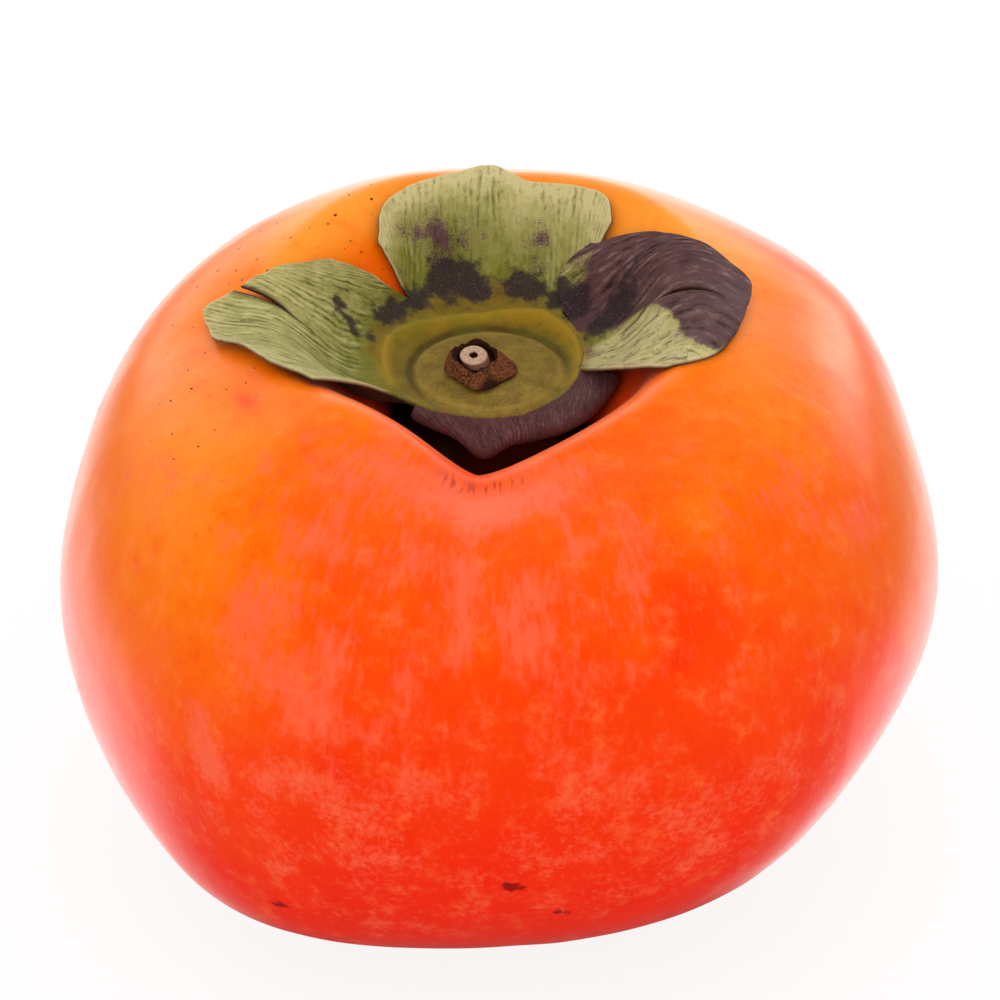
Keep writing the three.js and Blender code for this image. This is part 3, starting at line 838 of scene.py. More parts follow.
# The brown strokes under the notch, and the small bruises near the foot and on the right.
LIP = Patch(-1.4, -22.0, 51.7, 4.0, 1.1)
BRUISES = (
    Patch(1.2, -38.0, 19.0, 1.1, 0.75, 1.1), Patch(-20.1, -31.4, 12.1, 1.3, 0.6, 0.85),
    Patch(5.5, -36.1, 14.8, 1.3, 0.8, 0.62), Patch(-16.0, -36.0, 20.9, 0.8, 0.4, 0.4),
    Patch(13.7, -33.9, 45.6, 0.25, 0.25, 1.3), Patch(14.9, -33.9, 44.9, 0.25, 0.25, 1.3),
    Patch(14.6, -35.0, 42.7, 0.25, 0.25, 1.3),
)


@dataclass
class Fruit:
    """The whole fruit: a rounded square in plan, with a basin, furrows and a notch in its shoulder."""

    radius: float = 41.0
    depth_ratio: float = 0.985
    squareness: float = 0.02
    equator_height: float = 29.9
    crown: Profile = Profile(33.4, 2.35, 2.04)
    base: Profile = Profile(30.1, 3.28, 2.1)
    lean: float = 0.7
    foot_height: float = 0.05
    shift_x: float = 0.3

    basin_x: float = -1.0
    basin_floor_radius: float = 8.6
    basin_rim_radius: float = 21.5
    basin_floor_height: float = 18.5
    furrow_reach: float = 9.0
    furrows: tuple[Furrow, ...] = (
        Furrow(-93, 8.0, 27, 33, 5.0, 1.4),
        Furrow(-150, 2.6, 26, 26),
        Furrow(-42, 2.9, 38, 38),
        Furrow(4, 2.0, 24, 24, power=1.6),
        Furrow(84, 0.6, 20, 20, power=1.6),
        Furrow(176, 3.6, 28, 28, power=1.6),
    )
    pocket_azimuth: float = -65.0
    pocket_depth: float = 4.5
    pocket_half_width: float = 66.0
    pocket_reach: tuple[float, float, float, float] = (4.5, 8.5, 11.0, 18.0)

    swelling_spread: float = 18.0
    swellings: tuple[Swelling, ...] = (
        Swelling(-2, -3, 0.8), Swelling(-23, -31, -2.0), Swelling(-46, -48, -0.7), Swelling(-136, -47, 2.1),
        Swelling(-160, -28, 0.8), Swelling(-176, -7, 1.3), Swelling(43, 47, -1.0), Swelling(25, 33, 0.7),
        Swelling(10, 15, -0.6),
    )
    dimple_radius: float = 5.5
    dimple_depth: float = 1.5
    ripple: float = 0.1           # height of the skin's ripples, and their size
    ripple_size: float = 9.0
    small_ripple: float = 0.04    # and of the smaller ones among them
    small_ripple_size: float = 4.0

    streak_map_radius: float = 30.0     # the circle on which the streaks' azimuths are laid out
    streak_map_length: float = 0.25     # how far the streaks' map runs for each millimetre down the skin
    freckle_map_radius: float = 26.0    # the circle on which the freckles' azimuths are laid out
    freckle_map_width: float = 0.62     # how far their map runs for each millimetre round it

    columns: int = 384
    rows: int = 236
    ripples: SoftNoise = field(default_factory=lambda: SoftNoise(11))

    def swelling_at(self, direction: Array) -> Array:
        """How far the skin stands out along its own direction: the sum of the swellings' bells.

        Args:
            direction: unit directions, with x, y and z along the last axis.

        Returns:
            One distance for each direction.
        """
        height = np.zeros(direction.shape[:-1])
        for swelling in self.swellings:
            angle = np.degrees(np.arccos(np.clip(direction @ swelling.direction(), -1.0, 1.0)))
            height += swelling.height * bell(angle, self.swelling_spread)
        return height

    def sunken_crown(self, x: Array, y: Array, height: Array) -> Array:
        """Sinks the crown into the basin, its furrows and its pocket.

        The height is blended to the basin floor by distance from the basin's axis, then each furrow
        takes off its depth by a bell of azimuth, and so does the pocket under the front lobe.

        Args:
            x: how far right each place of the plan is.
            y: how far back it is.
            height: the crown's height there over the equator, before it sinks.

        Returns:
            The sunken height.
        """
        dx = x - self.basin_x
        distance = np.hypot(dx, y)
        azimuth = np.degrees(np.arctan2(y, dx))
        kept = ramp(distance, self.basin_floor_radius, self.basin_rim_radius)
        sunken = mix(self.basin_floor_height, height, kept)
        fade = 1.0 - ramp(distance, self.basin_rim_radius - 2.0, self.basin_rim_radius + 14.0)
        for furrow in self.furrows:
            turn = turn_between(azimuth, furrow.azimuth)
            across = bell(turn, np.where(turn < 0, furrow.before, furrow.after), furrow.power)
            reach = ramp(distance, furrow.start, furrow.start + self.furrow_reach)
            sunken = sunken - furrow.depth * across * reach * fade
        start, full, fading, end = self.pocket_reach
        pocket = ramp(distance, start, full) * (1.0 - ramp(distance, fading, end))
        turn = turn_between(azimuth, self.pocket_azimuth)
        return sunken - self.pocket_depth * bell(turn, self.pocket_half_width) * pocket

    def skin_point(self, latitude: Array, azimuth: Array) -> Array:
        """Points of the skin.

        The plan radius is the profile's superellipse times a little squareness, the height is the
        profile's, sunk at the crown and dimpled at the blossom end. The point is then moved out by the
        swellings, leant over, and pressed flat at the foot.

        Args:
            latitude: -90 at the blossom end, 90 at the stalk.
            azimuth: degrees round the fruit.

        Returns:
            The points, with x, y and z along a new last axis.
        """
        up = latitude >= 0
        across = np.maximum(cosine(latitude), 0.0)
        along = np.abs(sine(latitude))
        plan_power = np.where(up, self.crown.plan_power, self.base.plan_power)
        height_power = np.where(up, self.crown.height_power, self.base.height_power)
        reach = self.radius * across ** (2.0 / plan_power)
        plan = reach * (1.0 - self.squareness * cosine(4.0 * azimuth))
        x = plan * cosine(azimuth)
        y = plan * sine(azimuth) * self.depth_ratio
        rise = along ** (2.0 / height_power)
        dimple = self.dimple_depth * (1.0 - ramp(reach, 0.0, self.dimple_radius))
        z = np.where(up, self.sunken_crown(x, y, self.crown.height * rise), dimple - self.base.height * rise)
        direction = np.stack([across * cosine(azimuth), across * sine(azimuth), sine(latitude)], axis=-1)
        point = np.stack([x, y, z], axis=-1) + direction * self.swelling_at(direction)[..., None]
        leant_x = cosine(self.lean) * point[..., 0] - sine(self.lean) * point[..., 2]
        leant_z = sine(self.lean) * point[..., 0] + cosine(self.lean) * point[..., 2]
        height = np.maximum(leant_z + self.equator_height, self.foot_height) - self.foot_height
        return np.stack([leant_x + self.shift_x, point[..., 1], height], axis=-1)

    def skin_height(self, x: Array, y: Array) -> Array:
        """The height of the crown's skin over points of the plan, found by closing in on them.

        Args:
            x: how far right each place of the plan is.
            y: how far back it is.

        Returns:
            The skin's height over each.
        """
        guess_x, guess_y = x.copy(), y.copy()
        point = np.zeros((*x.shape, 3))
        for _ in range(6):
            azimuth = np.degrees(np.arctan2(guess_y / self.depth_ratio, guess_x))
            plan = np.hypot(guess_x, guess_y / self.depth_ratio)
            share = plan / (1.0 - self.squareness * cosine(4.0 * azimuth)) / self.radius
            across = np.minimum(share, 1.0) ** (self.crown.plan_power / 2.0)
            point = self.skin_point(np.degrees(np.arccos(across)), azimuth)
            guess_x += x - point[..., 0]
            guess_y += y - point[..., 1]
        return point[..., 2]

    def skin_under(self, x: Array, y: Array) -> tuple[Array, Array]:
        """The skin's height, and how much longer than upright a step off the skin is there.

        Args:
            x: how far right each place of the plan is.
            y: how far back it is.

        Returns:
            The height, and the root of 1 plus the squares of the two slopes.
        """
        span = 0.4
        height = self.skin_height(x, y)
        slope_x = (self.skin_height(x + span, y) - height) / span
        slope_y = (self.skin_height(x, y + span) - height) / span
        return height, np.sqrt(1.0 + slope_x**2 + slope_y**2)

    def latitudes(self) -> Array:
        """Rows of latitude, closest together on the wall of the basin and across the blossom end."""
        share = np.linspace(0.0, 1.0, self.rows)
        return through((88.6, 77.0, 66.0, 52.0, 30.0, 2.0, -25.0, -48.0, -66.0, -78.0, -89.6), share)

    def net(self) -> Net:
        """The skin as a net with its marks: rows of latitude, closed by a fan at each pole.

        Ripples then press it in along its normals, but not at the foot, whose ring stays flat, nor
        right under the stalk.

        Returns:
            The closed net.
        """
        latitude, azimuth = np.meshgrid(
            self.latitudes(), np.linspace(-180.0, 180.0, self.columns, endpoint=False), indexing="ij"
        )
        poles = self.skin_point(np.array([90.0, -90.0]), np.zeros(2))
        points = np.concatenate([self.skin_point(latitude, azimuth).reshape(-1, 3), poles])
        index = np.arange(latitude.size).reshape(latitude.shape)
        index = np.concatenate([index, index[:, :1]], axis=1)
        top, bottom = latitude.size, latitude.size + 1
        triangles = np.concatenate([
            Net.fan(top, index[0]), Net.strips(index), Net.fan(bottom, index[-1][::-1]),
        ])
        net = Net(points, triangles)
        grid = points[:-2].reshape(*latitude.shape, 3)
        steps = np.linalg.norm(np.diff(grid, axis=0), axis=-1)
        travelled = np.concatenate([np.zeros((1, self.columns)), np.cumsum(steps, axis=0)])
        net.values = self.marks(points, np.concatenate([travelled.ravel(), [0.0, travelled.max()]]))
        ripple = (
            self.ripple * self.ripples.at(points, self.ripple_size)
            + self.small_ripple * self.ripples.at(points + 50.0, self.small_ripple_size)
        )
        from_stalk = np.concatenate([90.0 - latitude.ravel(), [0.0, 180.0]])
        rippled = ramp(points[:, 2], 0.3, 3.0) * ramp(from_stalk, 8.0, 20.0)
        net.points = points - net.normals() * (np.abs(ripple) * rippled)[:, None]
        return net

    def marks(self, points: Array, travelled: Array) -> dict[str, Array]:
        """The skin's marks at its points.

        Args:
            points: the skin's points.
            travelled: how far each lies from the stalk along its meridian, in millimetres.

        Returns:
            Where the skin is ripe, bloomed, streaked, bruised, freckled, scarred or hollow, each from
            0 to 1, and two maps in millimetres: "meridian", on which streaks are long and narrow, and
            "belt", of the way round and the way down from the stalk, on which freckles lie. The hollow
            mark lays painted shade under the calyx. The mark of how ripe the skin is also carries
            painted shade at the foot and painted sheen on the crown.
        """
        x, y, z = points.T
        azimuth = np.degrees(np.arctan2(y, x))
        reach, around = self.streak_map_radius, np.radians(azimuth % 360.0)
        meridian = np.stack(
            [reach * cosine(azimuth), reach * sine(azimuth), self.streak_map_length * travelled], axis=-1
        )
        belt = np.stack(
            [self.freckle_map_width * around * self.freckle_map_radius, travelled, 0 * x], axis=-1
        )
        # Ripest at the foot and paler up the side; golden on the crown, on the left and at the right edge.
        # The deeper red at the foot is partly painted shade, and the pale crown partly painted sheen.
        ripeness_and_painted_light = mix(1.1, 0.4, ramp(z, 8.0, 50.0)) - 0.13 * ramp(z, 49.0, 56.0) - 0.5 * ramp(z, 54.5, 58.0)
        ripeness_and_painted_light = ripeness_and_painted_light - 0.4 * ramp(-x, 10.0, 32.0) * ramp(z, 14.0, 36.0)
        ripeness_and_painted_light = ripeness_and_painted_light - 0.18 * ramp(x, 16.0, 32.0) * ramp(z, 24.0, 42.0) - 0.3 * ramp(x, 32.0, 40.0)
        ripeness_and_painted_light = ripeness_and_painted_light + sum(0.45 * patch.cover(points) for patch in RED_PATCHES)
        ripeness_and_painted_light = ripeness_and_painted_light - sum(0.35 * patch.cover(points) for patch in GOLDEN_PATCHES)
        # Bloom in patches, as a thin veil between them on the front, and evenly round the back.
        patches = np.minimum(sum(patch.cover(points) for patch in BLOOM_PATCHES), 1.1)
        thin = 0.15 * ramp(z, 14.0, 24.0) * (1 - ramp(np.abs(turn_between(azimuth, -85.0)), 60.0, 95.0))
        elsewhere = 0.35 * ramp(np.abs(turn_between(azimuth, -95.0)), 75.0, 115.0) * ramp(z, 10.0, 24.0)
        bloom = 1.1 * patches + thin + elsewhere + 0.2 * self.ripples.layered(meridian / 5.0, 1.0) - 0.3
        # Painted shade, nearly black, round the stalk and a little further out under the front lobe, where
        # the basin lies under the calyx.
        from_basin = np.hypot(x - self.basin_x, y)
        front = bell(turn_between(azimuth, -90.0), 66.0, 4.0)
        hollow = (1.0 - ramp(from_basin - mix(10.0, 13.5, front), -1.8, 0.9)) * (z > 30.0)
        return {
            "meridian": meridian,
            "belt": belt,
            "ripeness_and_painted_light": ripeness_and_painted_light,
            "bloom": bloom - 0.9 * ramp(z, 51.0, 55.0) * (1 - front),
            "streaked": ramp(z, 24.0, 46.0) * mix(0.45, 1.0, ramp(x, -30.0, -16.0)),
            "lip": LIP.cover(points),
            "bruise": sum(patch.cover(points) for patch in BRUISES),
            "hollow": hollow,
            "freckle": ramp(-x + 0.5 * y, 9.0, 20.0) * ramp(z, 46.0, 53.0),
            "scar": (1.0 - ramp(np.hypot(x + 0.35, y), 1.2, 2.6)) * (z < 10.0),
        }

    def build(self) -> bpy.types.Object:
        """Makes the fruit's skin and dresses it."""
        return self.net().into_object("fruit_skin", "fruit_body", "skin", WaxySkin().material())


# ---------------------------------------------------------------- the calyx


class Region(Enum):
    """A part of the calyx with marks of its own."""

    PLATE = "the plate and its dish"
    RIGHT = "the right lobe, half of it purple"
    BACK = "the back lobe"
    LEFT = "the torn left lobe"
    FRONT = "the front lobe, rolled under"


class Margin(Enum):
    """A side margin of a lobe, by its place across the lobe."""

    RIGHT = -1
    NEITHER = 0
    LEFT = 1


@dataclass(frozen=True)
class Split:
    """A tear between two veins of a lobe, from start to end along it; it is open at the tip if end is 1."""

    at: float
    start: float
    end: float
    gap: float


@dataclass(frozen=True)
class Curl:
    """A place where a lobe lifts, in its own two parameters, with its spread in each."""

    across: float
    along: float
    wide: float
    long: float
    height: float

    def lift(self, along: Array, across: Array) -> Array:
        """How far it lifts each point: a bell across the lobe times a bell along it."""
        return self.height * bell(across - self.across, self.wide) * bell(along - self.along, self.long)


@dataclass(frozen=True)
class Lobe:
    """A lobe that lies on the skin.

    `outline` runs round its free edge in plan from the calyx axis. Each lift is its distance from the
    skin at the first third, second third and end of the right margin, the midrib and the left margin.
    """

    region: Region
    start: float
    end: float
    outline: tuple[tuple[float, float], ...]
    right: tuple[float, float, float]
    middle: tuple[float, float, float]
    left: tuple[float, float, float]
    columns: int
    ridge_height: float           # height of the ridges between its veins
    ridge_spacing: float
    crowding: float = 0.0         # how far its veins crowd towards the left at the root
    bulge: float = 0.0            # how far its left margin swings out over the next lobe
    taut: Margin = Margin.NEITHER   # the margin that spans the dip under it
    arch: float = 0.0             # how far that margin arches up on its way
    split: Split | None = None
    curls: tuple[Curl, ...] = ()

    def root_azimuth(self, t: Array) -> Array:
        """The azimuth at the rim of the vein at t, from 0 at the right margin to 1 at the left."""
        return mix(self.start, self.end, t + self.crowding * 4 * t * (1 - t))


@dataclass(frozen=True)
class Blot:
    """An oval mark on the calyx, in plan from its axis."""

    x: float
    y: float
    wide: float
    deep: float
    strength: float = 1.0

    def cover(self, x: Array, y: Array) -> Array:
        """How strongly the mark covers each point of the plan."""
        return self.strength * bell(np.hypot((x - self.x) / self.wide, (y - self.y) / self.deep), 1.0)


# The dark blots round the dish and on the left lobe, and the fainter purple mottles on the back lobe.
BLOTS = (
    Blot(-10.0, 6.2, 0.9, 0.8), Blot(-8.5, 7.4, 1.2, 1.1), Blot(-6.7, 9.2, 1.2, 1.2),
    Blot(-4.9, 11.2, 1.1, 1.6), Blot(-3.2, 11.5, 1.3, 1.7), Blot(-1.5, 11.6, 1.0, 1.5),
    Blot(-0.6, 10.8, 1.2, 1.2, 0.9), Blot(2.7, 11.5, 1.4, 1.3), Blot(4.3, 10.5, 1.3, 1.1),
    Blot(6.6, 9.2, 1.2, 1.2), Blot(7.9, 7.8, 0.9, 1.2), Blot(8.6, 8.1, 0.8, 0.9),
    Blot(9.7, 4.9, 1.0, 1.4, 0.9), Blot(10.8, 5.4, 0.7, 1.0, 0.9), Blot(12.6, 5.6, 1.4, 1.6, 0.9),
    Blot(-13.7, 4.9, 1.3, 0.5, 0.75), Blot(-13.0, 4.1, 0.9, 0.35, 0.75), Blot(-12.3, 3.3, 0.6, 0.5, 0.9),
    Blot(-10.9, 3.7, 0.5, 0.9, 0.8),
)
MOTTLES = (
    Blot(-7.8, 13.3, 1.6, 1.4, 0.36), Blot(-4.8, 14.3, 2.6, 1.5, 0.4), Blot(-4.1, 13.0, 1.3, 1.3, 0.45),
    Blot(-8.4, 10.7, 1.1, 1.0, 0.4), Blot(4.4, 13.2, 1.6, 1.8, 0.5), Blot(-1.0, 15.0, 3.0, 1.4, 0.3),
)


@dataclass
class Calyx:
    """The dry calyx: a domed plate in a shallow dish, three lobes on the skin and one rolled under."""

    fruit: Fruit
    x: float = -0.9
    gap: float = 0.35             # between the plate's foot and the basin's floor
    blade: float = 0.36           # thickness of the lobes and the dish
    clearance: float = 0.5        # least distance of a lobe's upper face from the skin

    plate_radius: float = 6.95
    plate_height: float = 49.75
    plate_dome: float = 0.62
    groove: float = 0.16          # depth of the groove round the plate
    groove_width: float = 0.32
    crest_azimuths: tuple[float, ...] = (-20, 9, 30, 58, 94, 121, 157, 195, 340)
    crest_radii: tuple[float, ...] = (8.0, 8.3, 8.8, 9.2, 8.0, 8.4, 9.8, 9.4, 8.0)
    crest_height: float = 0.7
    crest_width: float = 0.62
    dish_radius: float = 9.35
    dish_shift_back: float = 2.1
    dish_shift_left: float = 0.9
    dish_slope: float = 0.27
    dish_back_slope: float = 0.33

    lobes: tuple[Lobe, ...] = (
        Lobe(
            Region.RIGHT, -6, 49,
            ((14.7, -9.8), (18.4, -10.1), (21.3, -7.8), (23.3, -3.0), (24.1, 2.2), (21.6, 5.1), (17.8, 7.3),
             (13.5, 9.5), (9.5, 11.5)),
            right=(4.3, 2.6, 1.2), middle=(1.2, 1.2, 1.1), left=(1.5, 1.3, 1.1), columns=116,
            ridge_height=0.05, ridge_spacing=1.3, bulge=1.9, taut=Margin.RIGHT,
            split=Split(-0.25, 0.4, 0.86, 0.55), curls=(Curl(1.0, 0.16, 0.22, 0.16, 0.6),),
        ),
        Lobe(
            Region.BACK, 49, 128,
            ((11.2, 11.8), (10.8, 14.2), (7.9, 16.4), (3.6, 17.9), (0.4, 20.4), (-3.3, 18.9), (-7.4, 16.9),
             (-10.0, 14.4), (-10.2, 11.6)),
            right=(1.1, 1.1, 1.1), middle=(1.1, 1.1, 1.1), left=(1.1, 1.1, 1.1), columns=116,
            ridge_height=0.05, ridge_spacing=1.6,
        ),
        Lobe(
            Region.LEFT, 128, 221,
            ((-14.8, 7.9), (-17.6, 6.6), (-19.9, 5.7), (-22.3, 4.5), (-26.0, 3.4), (-25.2, -0.9),
             (-23.0, -4.4), (-20.2, -8.3), (-15.8, -12.0)),
            right=(1.6, 1.4, 1.1), middle=(1.1, 1.1, 1.1), left=(1.05, 1.1, 1.1), columns=120,
            ridge_height=0.045, ridge_spacing=1.2, crowding=0.2, taut=Margin.LEFT, arch=0.7,
            split=Split(-0.2, 0.3, 1.0, 0.7), curls=(Curl(-0.28, 1.0, 0.1, 0.14, 0.5),),
        ),
    )
    lobe_rows: int = 70

    rolled_start: float = 221.0
    rolled_end: float = 354.0
    rolled_columns: int = 126
    fold: tuple[float, ...] = (0.4, 1.0, 1.85, 1.9, 2.1, 2.45, 2.9)   # from the rim to the fold
    pitch: tuple[float, ...] = (-36, -43, -44, -41, -31, -15, -2)     # the slope down to it
    beak_azimuth: float = 267.0
    beak_length: float = 1.1
    beak_half_width: float = 11.0
    roll_radius: float = 0.9
    roll_turn: float = 130.0      # how far the roll turns under
    tuck: float = 0.8             # how far the leaf runs on from there
    rolled_ridge_out: float = 0.04
    rolled_ridge_up: float = 0.06
    rolled_ridge_spacing: float = 1.5

    creases: SoftNoise = field(default_factory=lambda: SoftNoise(23))

    def rim_radius(self, azimuth: Array) -> Array:
        """Radius of the dish's rim: a circle whose centre lies back and to the left.

        Args:
            azimuth: degrees round the calyx axis.

        Returns:
            The rim's distance from the axis.
        """
        return (
            self.dish_radius + self.dish_shift_back * sine(azimuth)
            - self.dish_shift_left * cosine(azimuth)
        )

    def rim_slope(self, azimuth: Array) -> Array:
        """Slope of the dish, steep at the back and level at the front."""
        return self.dish_slope + self.dish_back_slope * sine(azimuth)

    def dish_height(self, radius: Array, azimuth: Array) -> Array:
        """Height of the upper face: a dome, a groove round it, then a slope that sets in softly.

        Args:
            radius: distance from the calyx axis.
            azimuth: degrees round it.

        Returns:
            The height in the frame.
        """
        inside = np.maximum(0.0, 1.0 - (radius / self.plate_radius) ** 2)
        groove = self.groove * bell(radius - self.plate_radius - self.groove_width, self.groove_width)
        over = np.maximum(0.0, radius - self.plate_radius - 0.1)
        return (
            self.plate_height + self.plate_dome * inside - groove
            + self.rim_slope(azimuth) * over * over / (over + 0.5)
            + self.crest_height * self.dish_crest(radius, azimuth)
        )

    def dish_crest(self, radius: Array, azimuth: Array) -> Array:
        """A rounded, slightly angular crest along the dish's wall, which dies out at the front.

        Args:
            radius: distance from the calyx axis.
            azimuth: degrees round it.

        Returns:
            The crest's height as a share of its full height.
        """
        place = np.interp((azimuth + 20.0) % 360.0 - 20.0, self.crest_azimuths, self.crest_radii)
        sides = 1.0 - ramp(np.abs(turn_between(azimuth, 92.0)), 92.0, 118.0)
        return bell(radius - place, self.crest_width) * sides

    def about_axis(self, radius: Array, azimuth: Array, height: Array) -> Array:
        """Points given by distance and azimuth from the calyx axis, and height."""
        return np.stack([self.x + radius * cosine(azimuth), radius * sine(azimuth), height], axis=-1)

    def lying_surface(self, lobe: Lobe, along: Array, across: Array) -> Array:
        """A lobe that lies on the skin.

        Each vein is a quadratic Bezier curve in plan, from the dish's rim to the outline: the midrib
        leaves the rim square, the right margin runs straight, and the left one bulges by half a sine
        wave. The height passes from the dish's slope to the skin's height plus the lift, and is never
        less than the clearance over the skin. Ridges follow the veins, and the curls are added on top.

        Args:
            lobe: the lobe.
            along: 0 at the rim of the dish, 1 at the free edge.
            across: -1 at the right margin, 1 at the left.

        Returns:
            Points in the frame, with x, y and z along a new last axis.
        """
        t = (across + 1.0) / 2.0
        azimuth = lobe.root_azimuth(t)
        rim = self.rim_radius(azimuth)
        root = np.stack([rim * cosine(azimuth), rim * sine(azimuth)], axis=-1)
        end = np.stack([through([point[axis] for point in lobe.outline], t) for axis in (0, 1)], axis=-1)
        end = end * (1.0 + self.edge_wave(lobe.start, t))[..., None]
        chord = end - root
        reach = np.linalg.norm(chord, axis=-1, keepdims=True)
        leaving = np.stack([cosine(azimuth), sine(azimuth)], axis=-1)
        leaving = mix(leaving, chord / reach, (across**2)[..., None]) * (reach / 2.0)
        s = along[..., None]
        plan = root * (1 - s) ** 2 + 2 * (root + leaving) * s * (1 - s) + end * s**2
        aside = np.stack([-chord[..., 1], chord[..., 0]], axis=-1) / reach
        plan = plan + aside * (lobe.bulge * ramp(across, 0.4, 1.0) * np.sin(math.pi * along))[..., None]

        margin = np.where(across[..., None] > 0, lobe.left, lobe.right)
        lifts = mix(np.array(lobe.middle), margin, (across**2)[..., None])
        lifts = np.moveaxis(np.concatenate([lifts[..., :1], lifts], axis=-1), -1, 0)
        x, y = plan[..., 0] + self.x, plan[..., 1]
        skin, steep = self.fruit.skin_under(x, y)
        free = self.dish_height(rim, azimuth) + self.rim_slope(azimuth) * np.linalg.norm(plan - root, axis=-1)
        settled = skin + through(lifts, along) * steep
        height = mix(free, settled, ramp(along, 0.0, 0.5))
        if lobe.taut is not Margin.NEITHER:
            edge = -1 if lobe.taut is Margin.LEFT else 0
            s = along[:, edge]
            line = mix(height[0, edge], height[-1, edge], s) + lobe.arch * np.sin(math.pi * s)
            height = mix(height, line[:, None], ramp(lobe.taut.value * across, 0.2, 1.0))
        for curl in lobe.curls:
            height = height + curl.lift(along, across)
        place = self.vein_place(lobe.start, lobe.end, along, across)
        ridges = self.ridges(*place, lobe.start, lobe.ridge_spacing)
        height = height + lobe.ridge_height * ridges * ramp(along, 0.02, 0.3)
        lowest = skin + self.clearance * steep
        height = np.where(along > 0.0, at_least(height, lowest), height)
        return np.stack([x, y, height], axis=-1)

    def edge_wave(self, seed: float, t: Array) -> Array:
        """How much further out than its outline a lobe's free edge runs, as a share of its reach."""
        place = np.stack([t * 9.0, np.full_like(t, 10.0 * seed), np.zeros_like(t)], axis=-1)
        return 0.013 * self.creases.layered(place, 1.0, 5)

    def vein_place(self, start: float, end: float, along: Array, across: Array) -> tuple[Array, Array]:
        """Millimetres across the veins and along them, for a lobe that spans two azimuths.

        Args:
            start: the first azimuth.
            end: the second.
            along: 0 at the rim of the dish, 1 at the free edge.
            across: -1 at the right margin, 1 at the left.

        Returns:
            How far across the veins from the midrib, and how far along them, each point lies.
        """
        length = 14.0 * along
        width = (9.0 + 0.7 * length) * math.radians(end - start)
        return across * width / 2.0, length

    def ridges(self, across_mm: Array, along_mm: Array, seed: float, spacing: float) -> Array:
        """Ridges between the veins: a cosine across them, whose phase wanders by noise, plus noise.

        Args:
            across_mm: how far across the veins.
            along_mm: how far along them.
            seed: a number of the lobe's own, which makes its noise its own.
            spacing: from one ridge to the next, in millimetres.

        Returns:
            The ridges' height, from about -1 to 1.
        """
        place = np.stack([across_mm / 3.0, along_mm / 3.4, np.full_like(across_mm, seed)], axis=-1)
        wander = 0.6 * self.creases.at(place, 1.0) + 0.2 * self.creases.at(3.0 * place + 9.0, 1.0)
        waves = np.cos(2 * math.pi * (across_mm / spacing + wander))
        stretched = np.stack([across_mm, along_mm * 0.2, np.full_like(across_mm, seed)], axis=-1)
        swell = self.creases.at(place * 0.9 + 5.0, 1.0)
        return 0.55 * waves * (0.8 + 0.7 * swell) + 0.5 * self.creases.layered(stretched, 1.1, 2)

    def rolled_surface(self, along: Array, across: Array) -> Array:
        """The front lobe: down its slope to the fold, round the roll, and back under.

        The roll turns about a line one radius under the slope, so its points are the slope's end plus a
        circle's, and the tuck runs on from there along the circle's last tangent.

        Args:
            along: 0 at the rim of the dish, 1 at the tucked edge.
            across: -1 at the left of the front, 1 at its right.

        Returns:
            Points in the frame, with x, y and z along a new last axis.
        """
        t = (across + 1.0) / 2.0
        azimuth = mix(self.rolled_start, self.rolled_end, t)
        beak = self.beak_length * bell(azimuth - self.beak_azimuth, self.beak_half_width)
        fold = through(self.fold, t) + beak
        pitch = through(self.pitch, t)
        arc = self.roll_radius * math.radians(self.roll_turn)
        travelled = along * (fold + arc + self.tuck)
        on_slope = np.minimum(travelled, fold)
        turned = np.clip((travelled - fold) / arc, 0.0, 1.0) * self.roll_turn
        tucked = np.maximum(0.0, travelled - fold - arc)
        out = (
            on_slope * cosine(pitch) + self.roll_radius * (sine(pitch) - sine(pitch - turned))
            + tucked * cosine(pitch - turned)
        )
        up = (
            on_slope * sine(pitch) - self.roll_radius * (cosine(pitch) - cosine(pitch - turned))
            + tucked * sine(pitch - turned)
        )
        radius = self.rim_radius(azimuth)
        place = self.vein_place(self.rolled_start, self.rolled_end, along, across)
        ribs = self.ridges(*place, self.rolled_start, self.rolled_ridge_spacing) * ramp(along, 0.05, 0.3)
        height = self.dish_height(radius, azimuth) + up + self.rolled_ridge_up * ribs
        return self.about_axis(radius + out + self.rolled_ridge_out * ribs, azimuth, height)

    def blocks(
        self, surface: Callable[[Array, Array], Array], columns: int, split: Split | None
    ) -> list[tuple[Array, Array, Array]]:
        """Grids of a lobe: one, or the two sides of a split, which share their points where it is shut.

        Args:
            surface: the lobe's points for arrays of along and across.
            columns: steps from margin to margin.
            split: its tear, if any.

        Returns:
            For each grid its points, its along and its across.
        """
        along, across = np.meshgrid(
            np.linspace(0.0, 1.0, self.lobe_rows + 1), np.linspace(-1.0, 1.0, columns + 1), indexing="ij"
        )
        points = surface(along, across)
        if split is None:
            return [(points, along, across)]
        column = round((split.at + 1.0) / 2.0 * columns)
        share = np.clip((along[:, 0] - split.start) / (split.end - split.start), 0.0, 1.0)
        opening = share if split.end == 1.0 else np.sin(share * math.pi)
        side = points[:, column + 1] - points[:, column - 1]
        side /= np.linalg.norm(side, axis=1, keepdims=True)
        grids = []
        for columns_kept, sign in ((slice(0, column + 1), -1.0), (slice(column, None), 1.0)):
            near = 1.0 - np.abs(across[:, columns_kept] - split.at) / (1.0 - sign * split.at)
            pull = (sign * split.gap / 2.0 * opening)[:, None] * np.clip(near, 0.0, 1.0) ** 6
            moved = points[:, columns_kept] + side[:, None, :] * pull[..., None]
            grids.append((moved, along[:, columns_kept], across[:, columns_kept]))
        return grids

